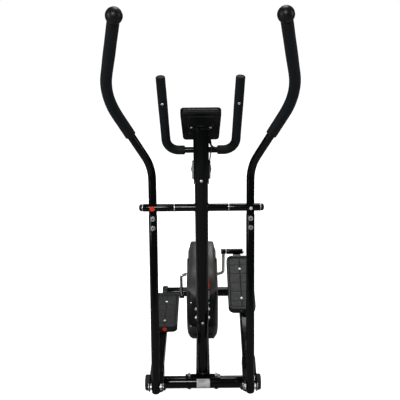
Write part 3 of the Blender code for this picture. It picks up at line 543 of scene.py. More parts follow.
METALS = {
    # Bright chrome plate on the crank's rod
    "chromed_steel": ("#d6d8db", "#e2e4e6", 30, 0.07, 0.14, 18, 4.0, 0.004),
    # Zinc-plated fasteners: duller, with a fine grain
    "zinc_plated_steel": ("#d2d4d6", "#e4e5e6", 6, 0.30, 0.44, 5, 0.9, 0.02),
    # Flywheel: turned grey iron
    "machined_cast_iron": ("#4c4d4f", "#5a5b5d", 12, 0.42, 0.60, 8, 1.2, 0.05),
    # Tarnished brass rim of the lead's jack
    "brass_jack": ("#8a6a35", "#9c7a42", 5, 0.28, 0.40, 4, 0.9, 0.02),
}
MM = 0.001


def material(finish):
    """The named finish, made once."""
    found = bpy.data.materials.get(finish)
    if found:
        return found
    made = bpy.data.materials.new(finish)
    made.use_nodes = True
    tree = made.node_tree
    shader = tree.nodes["Principled BSDF"]
    place = add(tree, "ShaderNodeTexCoord").outputs["Object"]
    if finish == "closed_cell_foam":
        foam(tree, shader, place)
    elif finish == "tinted_acrylic":
        acrylic(tree, shader, place)
    else:
        metal = finish in METALS
        recipe = METALS[finish] if metal else RECIPES[finish]
        mottled(tree, shader, place, recipe)
        shader.inputs["Metallic"].default_value = 1.0 if metal else 0.0
        if not metal:
            shader.inputs["Specular IOR Level"].default_value = 0.25
        if finish == "powder_coated_steel":
            colours = bpy.context.scene.trainer_colours
            shader.inputs["Specular IOR Level"].default_value = 0.12
            shader.inputs["Coat Weight"].default_value = colours.paint_gloss
            shader.inputs["Coat Roughness"].default_value = 0.05
    return made


def mottled(tree, shader, place, recipe):
    """Two close colours in soft patches, a wandering roughness and a fine grain as bump."""
    first, second, patch, low, high, rough_patch, grain, height = recipe
    patches = add(tree, "ShaderNodeTexNoise", Vector=place, Scale=1 / (patch * MM), Detail=3.0)
    colour = add(
        tree, "ShaderNodeMix", {"data_type": "RGBA"},
        _0=patches.outputs["Fac"], _6=linear(first), _7=linear(second),
    )
    tree.links.new(colour.outputs[2], shader.inputs["Base Color"])
    wander = add(tree, "ShaderNodeTexNoise", Vector=place, Scale=1 / (rough_patch * MM), Detail=4.0)
    rough = add(
        tree, "ShaderNodeMapRange", Value=wander.outputs["Fac"],
        From_Min=0.3, From_Max=0.7, To_Min=low, To_Max=high,
    )
    tree.links.new(rough.outputs["Result"], shader.inputs["Roughness"])
    fine = add(tree, "ShaderNodeTexNoise", Vector=place, Scale=1 / (grain * MM), Detail=2.0)
    bump = add(tree, "ShaderNodeBump", Height=fine.outputs["Fac"], Distance=height * MM, Strength=1.0)
    tree.links.new(bump.outputs["Normal"], shader.inputs["Normal"])


def foam(tree, shader, place):
    """Closed-cell foam sleeve: skinned over, dull, with pores about 1.6 mm apart and a soft sheen."""
    colours = bpy.context.scene.trainer_colours
    cells = add(tree, "ShaderNodeTexVoronoi", {"feature": "F1"}, Vector=place, Scale=1 / (1.6 * MM))
    patches = add(tree, "ShaderNodeTexNoise", Vector=place, Scale=1 / (22 * MM), Detail=4.0)
    dark = linear("#080c0f")
    colour = add(
        tree, "ShaderNodeMix", {"data_type": "RGBA"},
        _0=patches.outputs["Fac"], _6=dark, _7=(*colours.foam, 1.0),
    )
    tree.links.new(colour.outputs[2], shader.inputs["Base Color"])
    rough = add(
        tree, "ShaderNodeMapRange", Value=cells.outputs["Distance"],
        From_Min=0.0, From_Max=0.8, To_Min=0.72, To_Max=0.55,
    )
    tree.links.new(rough.outputs["Result"], shader.inputs["Roughness"])
    bump = add(tree, "ShaderNodeBump", Height=cells.outputs["Distance"], Distance=0.10 * MM, Strength=0.8)
    tree.links.new(bump.outputs["Normal"], shader.inputs["Normal"])
    shader.inputs["Specular IOR Level"].default_value = 0.15
    shader.inputs["Sheen Weight"].default_value = 0.08
    shader.inputs["Sheen Roughness"].default_value = 0.4


def acrylic(tree, shader, place):
    """Tinted display window: smooth, almost black, faintly greener in patches."""
    haze = add(tree, "ShaderNodeTexNoise", Vector=place, Scale=1 / (18 * MM), Detail=2.0)
    colour = add(
        tree, "ShaderNodeMix", {"data_type": "RGBA"},
        _0=haze.outputs["Fac"], _6=linear("#5d6b60"), _7=linear("#66756a"),
    )
    tree.links.new(colour.outputs[2], shader.inputs["Base Color"])
    rough = add(tree, "ShaderNodeMapRange", Value=haze.outputs["Fac"], To_Min=0.05, To_Max=0.10)
    tree.links.new(rough.outputs["Result"], shader.inputs["Roughness"])
    shader.inputs["Coat Weight"].default_value = 1.0


# ---------------------------------------------------------------- places


POST_UP = np.array((0, -math.sin(POST_LEAN), math.cos(POST_LEAN)))
POST_BASE = HUB - PIVOT_UP * POST_UP


def crank_end(side):
    """Centre of a crank's pin."""
    return CRANK_CENTRE + side * CRANK_R * np.array((0, -math.sin(CRANK_LEAN), math.cos(CRANK_LEAN)))


def bar_slope(side):
    """Rise of a pedal bar from its fork to the crank's pin."""
    end = crank_end(side)
    return math.atan2(end[2] - FORK[2], end[1] - FORK[1])


def handle_path(side):
    """The bent tube from the pivot to the ball."""
    front = np.array((0, FRONT[1], 0))
    corners = (
        (PIVOT, 0),
        (front + (ARM_X, -0.014, 0.932), 0.14),
        (front + (0.3217, -0.110, 1.2018), 0.22),
        (front + (0.2570, -0.269, 1.4362), 0),
    )
    return bent_path(corners) * np.array((side, 1, 1))


def fixed_path():
    """The U of the fixed handlebar, left top to right top."""
    corner = np.array((0.1235, *BAR_PLACE[1:]))
    top = np.array((0.1345, FRONT[1] - 0.080, 1.256))
    mirror = np.array((-1, 1, 1))
    return bent_path(((top * mirror, 0), (corner * mirror, 0.045), (corner, 0.045), (top, 0)))


def housing_surface(angle, x, lift=0.0):
    """Superellipse about the flywheel, scaled by a quarter ellipse over the shoulder beyond HOUSING_FLAT."""
    beyond = np.clip((np.abs(x) - HOUSING_FLAT) / (HOUSING_HALF - HOUSING_FLAT), 0, 1)
    scale = HOUSING_SIDE + (1 - HOUSING_SIDE) * np.sqrt(1 - beyond**2) + lift / HOUSING_HIGH
    cosine, sine = np.cos(angle), np.sin(angle)
    power = 2 / HOUSING_POWER
    y = HOUSING_Y + scale * HOUSING_LONG * np.sign(cosine) * np.abs(cosine) ** power
    z = HOUSING_Z + scale * HOUSING_HIGH * np.sign(sine) * np.abs(sine) ** power
    z = np.maximum(z, HOUSING_FLOOR + (1 - scale) * 0.10)
    crown = HOUSING_Z + HOUSING_HIGH
    narrow = 1 - HOUSING_TAPER * np.clip((z - HOUSING_WAIST) / (crown - HOUSING_WAIST), 0, 1)
    return np.stack(np.broadcast_arrays((x + np.sign(x) * lift * beyond) * narrow, y, z), axis=-1)


# ---------------------------------------------------------------- pieces


class TRAINER_OT_floor_frame(bpy.types.Operator):
    """Welded floor beam, lower post, crank hanger and flywheel cheeks"""

    bl_idname = "trainer.floor_frame"
    bl_label = "Floor frame"

    def execute(self, context):
        start, end = FRONT[1] + TUBE_R + CLEAR, REAR[1] - TUBE_R - CLEAR
        beam = block((-BEAM_HALF, start, BEAM_LOW), (BEAM_HALF, end, BEAM_TOP), 0.0008, 0.005, "Y")
        post = rod(LOWER_POST_R, -0.005, POST_JOIN + 0.03, POST_BASE, "Z", tilt=POST_LEAN, steps=64)
        hanger = block((-0.015, CRANK[1] - 0.0175, 0.06), (0.015, CRANK[1] + 0.0175, CRANK[2] - 0.018))
        shell = pipe(0.0245, 0.0207, -0.032, 0.032, CRANK_CENTRE)
        foot = block((-0.026, FLYWHEEL[1] - 0.020, 0.066), (0.026, FLYWHEEL[1] + 0.020, 0.087))
        near, far = FLYWHEEL[1] - 0.015, FLYWHEEL[1] + 0.015
        shelf = block((-0.020, near, 0.0850), (0.052, far, 0.0890))
        cheek_top = FLYWHEEL[2] + 0.018
        cheeks = [
            block((x, near, 0.0855), (x + 0.004, far, cheek_top), axis="X") for x in (-0.024, 0.048)
        ]
        parts = [beam, post, hanger, shell, foot, shelf, *cheeks]
        build("floor_frame", parts, "powder_coated_steel", "frame", ["main_frame"])
        angle = np.linspace(0, 2 * math.pi, 25)[:-1]
        bead_r = LOWER_POST_R + 0.001
        bead = np.stack((bead_r * np.cos(angle), bead_r * np.sin(angle), np.full(24, 0.001)), axis=-1)
        build("post_weld", [weld(POST_BASE + bead, 0.0024)], "weld_bead", "frame")
        return {"FINISHED"}


class TRAINER_OT_stabilisers(bpy.types.Operator):
    """Front and rear tubes, their moulded feet, the front plate with its bolts, and a plain label"""

    bl_idname = "trainer.stabilisers"
    bl_label = "Stabilisers"

    def execute(self, context):
        for name, centre in (("front_stabiliser", FRONT), ("rear_stabiliser", REAR)):
            half = half_of(name)[0]
            tube_piece = pipe(TUBE_R, TUBE_R - 0.0015, -half, half, centre, steps=64)
            build(f"{name}_tube", [tube_piece], "powder_coated_steel", "frame", [name])
        for label, side in SIDES:
            for place, centre in (("front", FRONT), ("rear", REAR)):
                self.foot(place, label, side, centre)
        self.plate()
        return {"FINISHED"}

    def foot(self, place, label, side, centre):
        """An end cap with a flat sole, and at the front a stub for the wheel."""
        node = f"{place}_foot_{label}"
        low, high = corners_of(node)
        radius = (high[1] - low[1]) / 2
        inner = min(abs(low[0]), abs(high[0]))
        outer = FOOT_OUT[place]
        socket = TUBE_R + CLEAR
        profile = (
            (0, outer), (radius * 0.45, outer), (radius * 0.55, outer - 0.001),
            (radius - 0.004, outer - 0.001), (radius, outer - 0.006), (radius, inner + 0.003),
            (radius - 0.002, inner), (socket, inner), (socket, outer - 0.006), (0, outer - 0.006),
        )
        body = turned(eased(profile, 0.0015), centre, "X", side, steps=64)
        x = sorted((side * (inner + 0.001), side * (outer - 0.001)))
        sole = block((x[0], centre[1] - 0.022, 0), (x[1], centre[1] + 0.022, 0.0075), 0.0012, 0.004)
        parts = [body, sole]
        if place == "front":
            parts.append(rod(WHEEL_STUB_R, outer - 0.002, 0.2345, centre, "X", side))
        build(f"{place}_foot_moulding_{label}", parts, "moulded_black_abs", "frame", [node])

    def plate(self):
        """The plate on the front tube, its bolts, and the plain label."""
        top = FRONT[2] + TUBE_R
        seat = top + 0.0035
        low, high = (-0.071, FRONT[1] - 0.016, top + CLEAR), (0.071, FRONT[1] + 0.016, seat)
        base = block(low, high, 0.0006, 0.004)
        build("front_plate", [base], "powder_coated_steel", "frame", ["stabiliser_plate"])
        bolts = []
        for x in (-0.0555, 0.0535):
            where = (x, FRONT[1], seat)
            under = (x, FRONT[1] - 0.0085, FRONT[2] - TUBE_R + 0.0020)
            bolts.append(rod(0.0038, 0.0, 0.014, where, "Z", edge=0.0008, steps=24))
            bolts.append(hex_head(0.0115, 0.0, 0.0055, where, "Z", 1))
            bolts.append(screw_head(0.0085, 0.0035, under, "Z", -1))
        build("front_plate_bolts", bolts, "zinc_plated_steel", "frame")
        radius = TUBE_R + CLEAR
        label = self.patch(radius, (108, 232, 30), (-0.0255, 0.0280, 12))
        build("plain_label", [label], "white_vinyl", "frame", wall=0.00025)
        lines = ((130, -0.018, 0.008), (139, -0.018, 0.016), (148, -0.018, 0.002), (196, 0.000, 0.012))
        bars = [
            self.patch(radius + 0.0002, (turn, turn + 3.5, 4), (left, right, 4))
            for turn, left, right in lines
        ]
        build("label_bars", bars, "moulded_grey_abs", "frame", wall=0.0002)

    def patch(self, radius, turns, widths):
        """Part of the front tube's skin, (x, radius cos a, radius sin a); a range is (first, last, count)."""
        angle = np.radians(np.linspace(*turns))[:, None]
        x = np.linspace(*widths)[None, :]
        y, z = FRONT[1] + radius * np.cos(angle), FRONT[2] + radius * np.sin(angle)
        return sheet_of(np.stack(np.broadcast_arrays(x, y, z), axis=-1))


class TRAINER_OT_wheels(bpy.types.Operator):
    """Transport wheels at the ends of the front stabiliser"""

    bl_idname = "trainer.wheels"
    bl_label = "Transport wheels"

    def execute(self, context):
        for label, side in SIDES:
            node = f"transport_wheel_{label}"
            radius = half_of(node)[2]
            bore, groove = 0.0052, radius - 0.0006
            hub_face, web, rim_out, rim_in = 0.2320, 0.2290, 0.2335, 0.2115
            profile = eased((
                (bore, hub_face), (0.0105, hub_face), (0.0125, web), (0.0215, web), (0.0240, rim_out),
                (radius - 0.003, rim_out), (radius, 0.2300), (radius, 0.2245), (groove, 0.2240),
                (groove, 0.2230), (radius, 0.2225), (radius, 0.2150), (radius - 0.003, rim_in),
                (bore, rim_in), (bore, hub_face),
            ), 0.001)[:-1]
            wheel = ring(profile, FRONT, "X", side, steps=64)
            build(f"transport_wheel_tyre_{label}", [wheel], "black_rubber", f"wheel_{label}", [node])
        return {"FINISHED"}


class TRAINER_OT_post(bpy.types.Operator):
    """Upper post, its clamping bolts, and the crossbar through it"""

    bl_idname = "trainer.post"
    bl_label = "Post and crossbar"

    def execute(self, context):
        bore = LOWER_POST_R + CLEAR
        post = pipe(UPPER_POST_R, bore, POST_JOIN, POST_TOP, POST_BASE, "Z", tilt=POST_LEAN, steps=64)
        cap = rod(UPPER_POST_R - 0.002, POST_TOP - 0.02, POST_TOP - 0.0005, POST_BASE, "Z", tilt=POST_LEAN)
        build("post_tube", [post, cap], "powder_coated_steel", "frame", ["upper_post"])
        half = half_of("pivot_crossbar")[0]
        bar = pipe(CROSS_R, half_of("pivot_axle")[2] + CLEAR, -half, half, HUB)
        build("crossbar", [bar], "powder_coated_steel", "frame", ["pivot_crossbar"])
        bolts, rims = [], []
        for up in (0.243, 0.829):
            front = placed((0, -UPPER_POST_R, up), POST_BASE, POST_LEAN)
            rims.append(rod(0.0085, -0.001, 0.0014, front, "Y", -1, POST_LEAN, 0.0005))
            bolts.append(screw_head(0.0060, 0.0050, front + (0, -0.0012, 0), "Y", -1, POST_LEAN))
        for up in (0.252, 0.291):
            for side in (-1, 1):
                where = POST_BASE + up * POST_UP + np.array((side * UPPER_POST_R, 0, 0))
                bolts.append(rod(0.0075, -0.001, 0.0014, where, "X", side, edge=0.0005))
                bolts.append(screw_head(0.0062, 0.0052, where + np.array((side * 0.0012, 0, 0)), "X", side))
        build("post_bolts", bolts, "zinc_plated_steel", "frame")
        build("post_bolt_rims", rims, "moulded_black_abs", "frame")
        angle = np.linspace(0, 2 * math.pi, 24, endpoint=False)
        beads = []
        for side in (-1, 1):
            reach = np.sqrt(UPPER_POST_R**2 - (CROSS_R * np.sin(angle)) ** 2)
            path = HUB + np.stack((side * reach, CROSS_R * np.sin(angle), CROSS_R * np.cos(angle)), axis=-1)
            beads.append(weld(path, 0.0020))
        build("crossbar_welds", beads, "weld_bead", "frame")
        for label, side in SIDES:
            washer = pipe(0.0135, AXLE_BORE_R, HUB_OUT + CLEAR, HUB_OUT + 0.0025, HUB, "X", side)
            build(f"outer_washer_{label}", [washer], "zinc_plated_steel", "frame", [f"pivot_washer_{label}"])
            rim = HUB_OUT + 0.0030
            skirt = ((CAP_R, rim + 0.0004), (CAP_R - 0.0005, rim), (0.0, rim))
            cap = turned(np.vstack((dome(CAP_R, rim + 0.0056, 0.0069), skirt)), HUB, "X", side)
            build(f"axle_end_cap_{label}", [cap], "moulded_black_abs", "frame", [f"axle_cap_{label}"])
            inner = pipe(0.0152, 0.0086, 0.0977, 0.1003, HUB, "X", side)
            build(f"inner_washer_{label}", [inner], "zinc_plated_steel", "frame")
        return {"FINISHED"}


class TRAINER_OT_arms(bpy.types.Operator):
    """Swing arms: bent handle with its hub, foam sleeve, end ball, lower tube, bolts and plug"""

    bl_idname = "trainer.arms"
    bl_label = "Swing arms"

    def execute(self, context):
        for label, side in SIDES:
            body = f"arm_{label}"
            path = handle_path(side)
            here = PIVOT * np.array((side, 1, 1))
            dense = at(path, np.arange(0, lengths(path)[-1], 0.006))
            dense = np.vstack((dense, path[-1]))
            handle = tube(dense, ARM_R, steps=48)
            half = half_of("pivot_crossbar")[0]
            hub = pipe(CROSS_R, AXLE_BORE_R, half + 0.0035, HUB_OUT, HUB, "X", side, steps=64)
            neck = rod(ARM_R, -0.026, 0.004, here, "Z", tilt=-ARM_TILT)
            stub = rod(0.0128, -0.090, -0.02, here, "Z", tilt=-ARM_TILT)
            parts = [handle, hub, neck, stub]
            build(f"handle_tube_{label}", parts, "powder_coated_steel", body, [f"handle_{label}"])
            self.grip(label, path, body)
            self.ball(label, path, body)
            self.lower(label, side, here, body)
        return {"FINISHED"}

    def grip(self, label, path, body):
        """Foam sleeve over the upper handle; its radius wanders by two slow sines."""
        above = np.interp(GRIP_START, path[:, 2], lengths(path))
        total = lengths(path)[-1] - above
        distance, radius = sleeve_round(total, bpy.context.scene.trainer_sizes.grip_radius, 0.0035)
        swell = 0.00025 * np.sin(distance / 0.045) + 0.00015 * np.sin(distance / 0.017 + 1.0)
        sleeve = tube(at(path, above + distance), radius + swell, steps=48)
        nodes = [f"handle_grip_{label}"]
        grip = build(f"foam_grip_{label}", [sleeve], "closed_cell_foam", body, nodes, sharp=60)

    def ball(self, label, path, body):
        """End ball, a sphere cut flat where it meets the tube."""
        ahead = path[-1] - path[-2]
        ahead /= np.linalg.norm(ahead)
        ball_radius = bpy.context.scene.trainer_sizes.ball_radius
        centre = path[-1] + ahead * (ball_radius * BALL_SEAT + CLEAR)
        phi = np.linspace(0.001, math.pi - math.acos(BALL_SEAT), 28)
        spot = centre + ahead * ball_radius * np.cos(phi)[:, None]
        width = ball_radius * np.sin(phi)
        ball = tube(spot, width, steps=48)
        build(f"end_ball_{label}", [ball], "moulded_black_abs", body, [f"handle_ball_{label}"])

    def lower(self, label, side, here, body):
        """Lower tube with its plug, two bolts and the small disc."""
        tail = -ARM_LENGTH - ARM_TAIL
        lower = pipe(LOWER_ARM_R, 0.0131, tail, -0.0263, here, "Z", tilt=-ARM_TILT, steps=64)
        build(f"lower_tube_{label}", [lower], "powder_coated_steel", body, [f"lower_arm_{label}"])
        rim = ((LOWER_ARM_R, tail - 0.0004), (0.0, tail - 0.0004))
        profile = np.vstack((dome(LOWER_ARM_R, tail - 0.0020, -0.0080), rim))[::-1]
        plug = turned(profile, here, "Z", tilt=-ARM_TILT)
        build(f"bottom_plug_{label}", [plug], "moulded_black_abs", body, [f"arm_plug_{label}"])
        bolts, sockets = [], []
        for down in (0.040, 0.0735):
            front = placed((0, -LOWER_ARM_R, -down), here, -ARM_TILT)
            bolts.append(rod(0.0090, -0.0012, 0.0016, front, "Y", -1, -ARM_TILT, 0.0004))
            bolts.append(hex_head(0.0130, 0.0012, 0.0062, front, "Y", -1, -ARM_TILT))
            sockets.append(pipe(0.0078, 0.0066, 0.0012, 0.0022, front, "Y", -1, -ARM_TILT, 0.0002, 32))
            # The flat black disc on each head's top is painted shade: it stands in for the dark recess of a
            # hex socket.
            sockets.append(rod(0.0030, 0.0058, 0.0064, front, "Y", -1, -ARM_TILT, 0.0002, 24))
        build(f"arm_bolts_{label}", bolts, "zinc_plated_steel", body)
        build(f"arm_bolt_seats_{label}", sockets, "moulded_black_abs", body)
        radius = 0.0098 if side < 0 else 0.0062
        disc = curved_disc(radius, 2 * ARM_R, here + np.array((side * 0.001, ARM_R - 0.0016, 0.0)))
        build(f"arm_disc_{label}", [disc], "red_vinyl" if side < 0 else "white_vinyl", body, wall=0.0004)


class TRAINER_OT_fixed_bar(bpy.types.Operator):
    """Fixed U handlebar with foam sleeves, their screws and a clamp"""

    bl_idname = "trainer.fixed_bar"
    bl_label = "Fixed handlebar"

    def execute(self, context):
        path = fixed_path()
        total = lengths(path)[-1]
        bar = tube(at(path, np.linspace(0, total, 120)), FIXED_R, steps=40)
        build("fixed_bar_tube", [bar], "powder_coated_steel", "frame", ["handlebar"])
        inner = 0.058
        crossing = total / 2 + inner
        for label, side in SIDES:
            here = path if side > 0 else path[::-1]
            ahead = here[-1] - here[-2]
            longer = np.vstack((here, here[-1] + ahead / np.linalg.norm(ahead) * SLEEVE_LIP))
            covered = total + SLEEVE_LIP - crossing
            distance, radius = sleeve_round(covered, context.scene.trainer_sizes.fixed_grip_radius, 0.0045)
            radius = radius + 0.0002 * np.sin(distance / 0.03)
            sleeve = tube(at(longer, crossing + distance), radius, steps=40)
            nodes = [f"fixed_grip_{label}"]
            grip = build(f"foam_sleeve_{label}", [sleeve], "closed_cell_foam", "frame", nodes, sharp=60)
            spot = at(here, np.array((total - 0.091,)))[0]
            lean = math.atan2(here[-4][1] - here[-1][1], here[-1][2] - here[-4][2])
            out = np.array((0, -math.cos(lean), -math.sin(lean)))
            screw = screw_head(0.0050, 0.0030, spot + out * (FIXED_GRIP_R - 0.0004), "Y", -1, lean)
            build(f"sleeve_screw_{label}", [screw], "zinc_plated_steel", "frame")
        clamp = block((-0.020, -0.018, -0.016), (0.020, 0.020, 0.016), 0.002, 0.004, "X", BAR_PLACE)
        build("bar_clamp", [clamp], "powder_coated_steel", "frame")
        return {"FINISHED"}


class TRAINER_OT_console(bpy.types.Operator):
    """Console shells, display window, button, bracket, jack, screws and the sensor lead"""

    bl_idname = "trainer.console"
    bl_label = "Console"

    def execute(self, context):
        def shell(near, far, edge, grow=0.0):
            outline = rounded_rectangle(CONSOLE_TOP_HALF + grow, CONSOLE_HIGH / 2 + grow, 0.009)
            share = (outline[:, 1] + CONSOLE_HIGH / 2) / CONSOLE_HIGH
            width = CONSOLE_LOW_HALF + (CONSOLE_TOP_HALF - CONSOLE_LOW_HALF) * share
            outline[:, 0] *= width / CONSOLE_TOP_HALF
            points, faces = slab(outline[:, ::-1], near, far, edge, "Y")
            return placed(points, CONSOLE, CONSOLE_TILT), faces

        def bit(low, high, edge=0.0008, corner=0.001, axis="Y"):
            return block(low, high, edge, corner, axis, CONSOLE, CONSOLE_TILT)

        def spot(x, z, depth=0.0):
            return placed((x, depth, z), CONSOLE, CONSOLE_TILT)

        back = shell(0.0015, CONSOLE_SPLIT - 0.0006, 0.004, -0.0004)
        brow = bit((-0.067, -0.0004, 0.0540), (0.067, 0.006, 0.0625), 0.0015)
        build("console_back_shell", [back, brow], "moulded_black_abs", "frame", ["console_back"])
        front = [shell(CONSOLE_SPLIT + 0.0004, CONSOLE_DEEP - 0.0012, 0.004)]
        build("console_front_shell", front, "moulded_black_abs", "frame", ["console_front"])
        groove = bit((-0.0465, 0.0004, 0.0425), (0.0465, 0.0022, 0.0447), 0.0002, 0.0006)
        face = CONSOLE_DEEP
        bezel = bit((-0.043, face - 0.0020, -0.002), (0.043, face - 0.0004, 0.056), 0.0006, 0.004)
        build("console_trim", [groove, bezel], "moulded_grey_abs", "frame")
        window = bit((-0.0355, face - 0.0012, 0.006), (0.0355, face, 0.052), 0.0003, 0.002)
        build("display", [window], "tinted_acrylic", "frame", ["console_window"])
        digits = []
        for column in range(4):
            x = -0.021 + column * 0.014
            for low in (0.0190, 0.0280, 0.0370):
                start, end = (x - 0.004, face, low), (x + 0.004, face + 0.0002, low + 0.0015)
                digits.append(bit(start, end, 0.00005, 0.0004))
        build("display_segments", digits, "moulded_black_abs", "frame")
        button = rod(0.0078, face - 0.003, face + 0.0024, spot(0, -0.032), "Y", 1, CONSOLE_TILT, 0.0012)
        build("select_button", [button], "light_grey_abs", "console_button", ["console_button"])
        screws = [
            screw_head(0.0045, 0.0018, spot(x, -0.0085, 0.0014), "Y", -1, CONSOLE_TILT)
            for x in (-0.035, 0.035)
        ]
        build("console_screws", screws, "zinc_plated_steel", "frame")
        pegs = [
            rod(0.0022, -0.0004, 0.0022, spot(x, 0.005), "Y", 1, CONSOLE_TILT, 0.0003, 20)
            for x in (-0.045, 0.045)
        ]
        build("console_pegs", pegs, "moulded_grey_abs", "frame")
        jack = pipe(0.0034, 0.0018, -0.0010, 0.0030, spot(-0.0415, -0.0305), "Y", 1, CONSOLE_TILT, 0.0004, 24)
        build("lead_jack", [jack], "brass_jack", "frame")
        route = CABLE_ROUTE * np.array((0.84, 1, 1)) + np.array((0, FRONT[1], 0))
        lead = tube(smooth_route(route), 0.0022, (1, 0, 0), 16)
        route = GRIP_LEAD + np.array((0, FRONT[1], 0))
        grip_lead = tube(smooth_route(route), 0.0036, (1, 0, 0), 24)
        build("sensor_lead", [lead], "black_rubber", "frame", ["sensor_cable"])
        build("grip_lead", [grip_lead], "black_rubber", "frame")
        self.bracket()
        return {"FINISHED"}

    def bracket(self):
        """Bent sheet that holds the console behind the post."""
        near = UPPER_POST_R + 0.001
        low, high = 0.810, 1.010

        def sheet(start, end, axis):
            return block(start, end, 0.0006, 0.001, axis, POST_BASE, POST_LEAN)

        back = sheet((-0.0275, near, low), (0.0275, near + 0.003, high), "Y")
        sides = [
            sheet((x - 0.0015, -0.004, low), (x + 0.0015, near + 0.0028, high), "X") for x in (-0.026, 0.026)
        ]
        build("console_mast", [back, *sides], "powder_coated_steel", "frame", ["console_bracket"])


class TRAINER_OT_tension(bpy.types.Operator):
    """Tension unit: base, and a fluted dial with a finger wing and a white mark"""

    bl_idname = "trainer.tension"
    bl_label = "Tension dial"

    def execute(self, context):
        centre = DIAL * ON_CENTRE
        low = UPPER_POST_R + 0.005
        turn = {"axis": "Y", "origin": centre, "tilt": POST_LEAN}
        base = block((-0.034, low, -0.035), (0.034, low + 0.012, 0.035), 0.0025, 0.005, **turn)
        build("tension_base", [base], "light_grey_abs", "frame", ["dial_base"])
        start = low + 0.0123
        profile = eased((
            (0, start + 0.016), (0.026, start + 0.016), (0.030, start + 0.018), (0.0335, start + 0.016),
            (0.0370, start + 0.004), (0.0370, start), (0, start),
        ), 0.0015)
        dial = turned(profile, centre, "Y", 1, POST_LEAN, 120, 20, 0.011)
        wing = block((-0.006, start + 0.012, -0.027), (0.006, start + 0.0255, 0.027), 0.002, 0.005, **turn)
        build("tension_knob", [dial, wing], "moulded_black_abs", "tension_dial", ["tension_dial"])
        low, high = (-0.0008, start + 0.0252, 0.012), (0.0008, start + 0.0259, 0.024)
        mark = block(low, high, 0.0001, 0.0004, **turn)
        build("dial_pointer", [mark], "white_vinyl", "tension_dial")
        return {"FINISHED"}


class TRAINER_OT_pedal_bars(bpy.types.Operator):
    """Pedal bars with their forks, pins, washers and rear sleeves"""

    bl_idname = "trainer.pedal_bars"
    bl_label = "Pedal bars"

    def execute(self, context):
        for label, side in SIDES:
            slope = bar_slope(side)
            body = f"pedal_{label}"
            x = side * ARM_X
            bar = block(
                (x - BAR_HALF, 0.053, BAR_LOW), (x + BAR_HALF, BAR_END, BAR_TOP), 0.0008, 0.006, "Y",
                FORK_CENTRE, slope,
            )
            parts = [bar]
            angle = np.radians(np.linspace(96, 264, 29))
            nose = CHEEK_R * np.stack((np.cos(angle), np.sin(angle)), axis=-1)
            outline = np.vstack((((0.115, -0.0215), (0.115, 0.0215)), nose))
            for edge in (-1, 1):
                inside = x + edge * (BAR_HALF + 0.00125) - 0.00175
                cheek, faces = slab(outline, inside, inside + 0.0035, 0.0008, "X")
                parts.append((placed(cheek, FORK_CENTRE, slope), faces))
            rear = crank_end(side)
            start = CRANK_BOSS_OUT + 0.002
            parts.append(pipe(0.0128, CRANK_PIN_R + CLEAR, start, REAR_SLEEVE_OUT, rear, "X", side))
            across = sorted((side * BRACKET_NEAR, side * BRACKET_FAR))
            parts.append(block(
                (across[0], BRACKET_START, -0.0148), (across[1], BAR_LENGTH - 0.004, -0.0008),
                origin=FORK_CENTRE, tilt=slope,
            ))
            build(f"pedal_bar_tube_{label}", parts, "powder_coated_steel", body, [f"pedal_bar_{label}"])
            self.pins(label, side, x, rear, body, slope)
        return {"FINISHED"}

    def pins(self, label, side, x, rear, body, slope):
        """Fork pin with washers and caps, and the bolt at the crank."""
        head = BAR_HALF + 0.0035
        fork = np.array((x, FORK[1], FORK[2]))
        rim = ((CAP_R, head + 0.0016), (0, head + 0.0016))
        profile = np.vstack((dome(CAP_R, head + 0.0042, 0.0088), rim))
        caps = [turned(profile, fork, "X", end) for end in (-1, 1)]
        build(f"fork_caps_{label}", caps, "moulded_black_abs", body, [f"fork_pin_{label}"])
        metal = [rod(FORK_PIN_R, -head - 0.001, head + 0.001, fork)]
        bore = FORK_PIN_R + CLEAR
        for end in (-1, 1):
            metal.append(pipe(0.0145, bore, head, head + 0.0016, fork, "X", end))
            metal.append(pipe(0.0118, bore, LOWER_ARM_R + 0.0006, BAR_HALF - 0.0009, fork, "X", end))
        build(f"fork_washers_{label}", metal, "zinc_plated_steel", body)
        outer = REAR_SLEEVE_OUT
        pin = rod(CRANK_PIN_R, CRANK_BOSS_OUT + 0.0012, outer + 0.001, rear, "X", side)
        washer = pipe(0.0125, 0.0062, outer + CLEAR, outer + 0.0018, rear, "X", side)
        nut = hex_head(0.0180, outer + 0.0018, outer + 0.0062, rear, "X", side, slope)
        build(f"crank_bolt_{label}", [pin, washer, nut], "zinc_plated_steel", body, [f"crank_pin_{label}"])


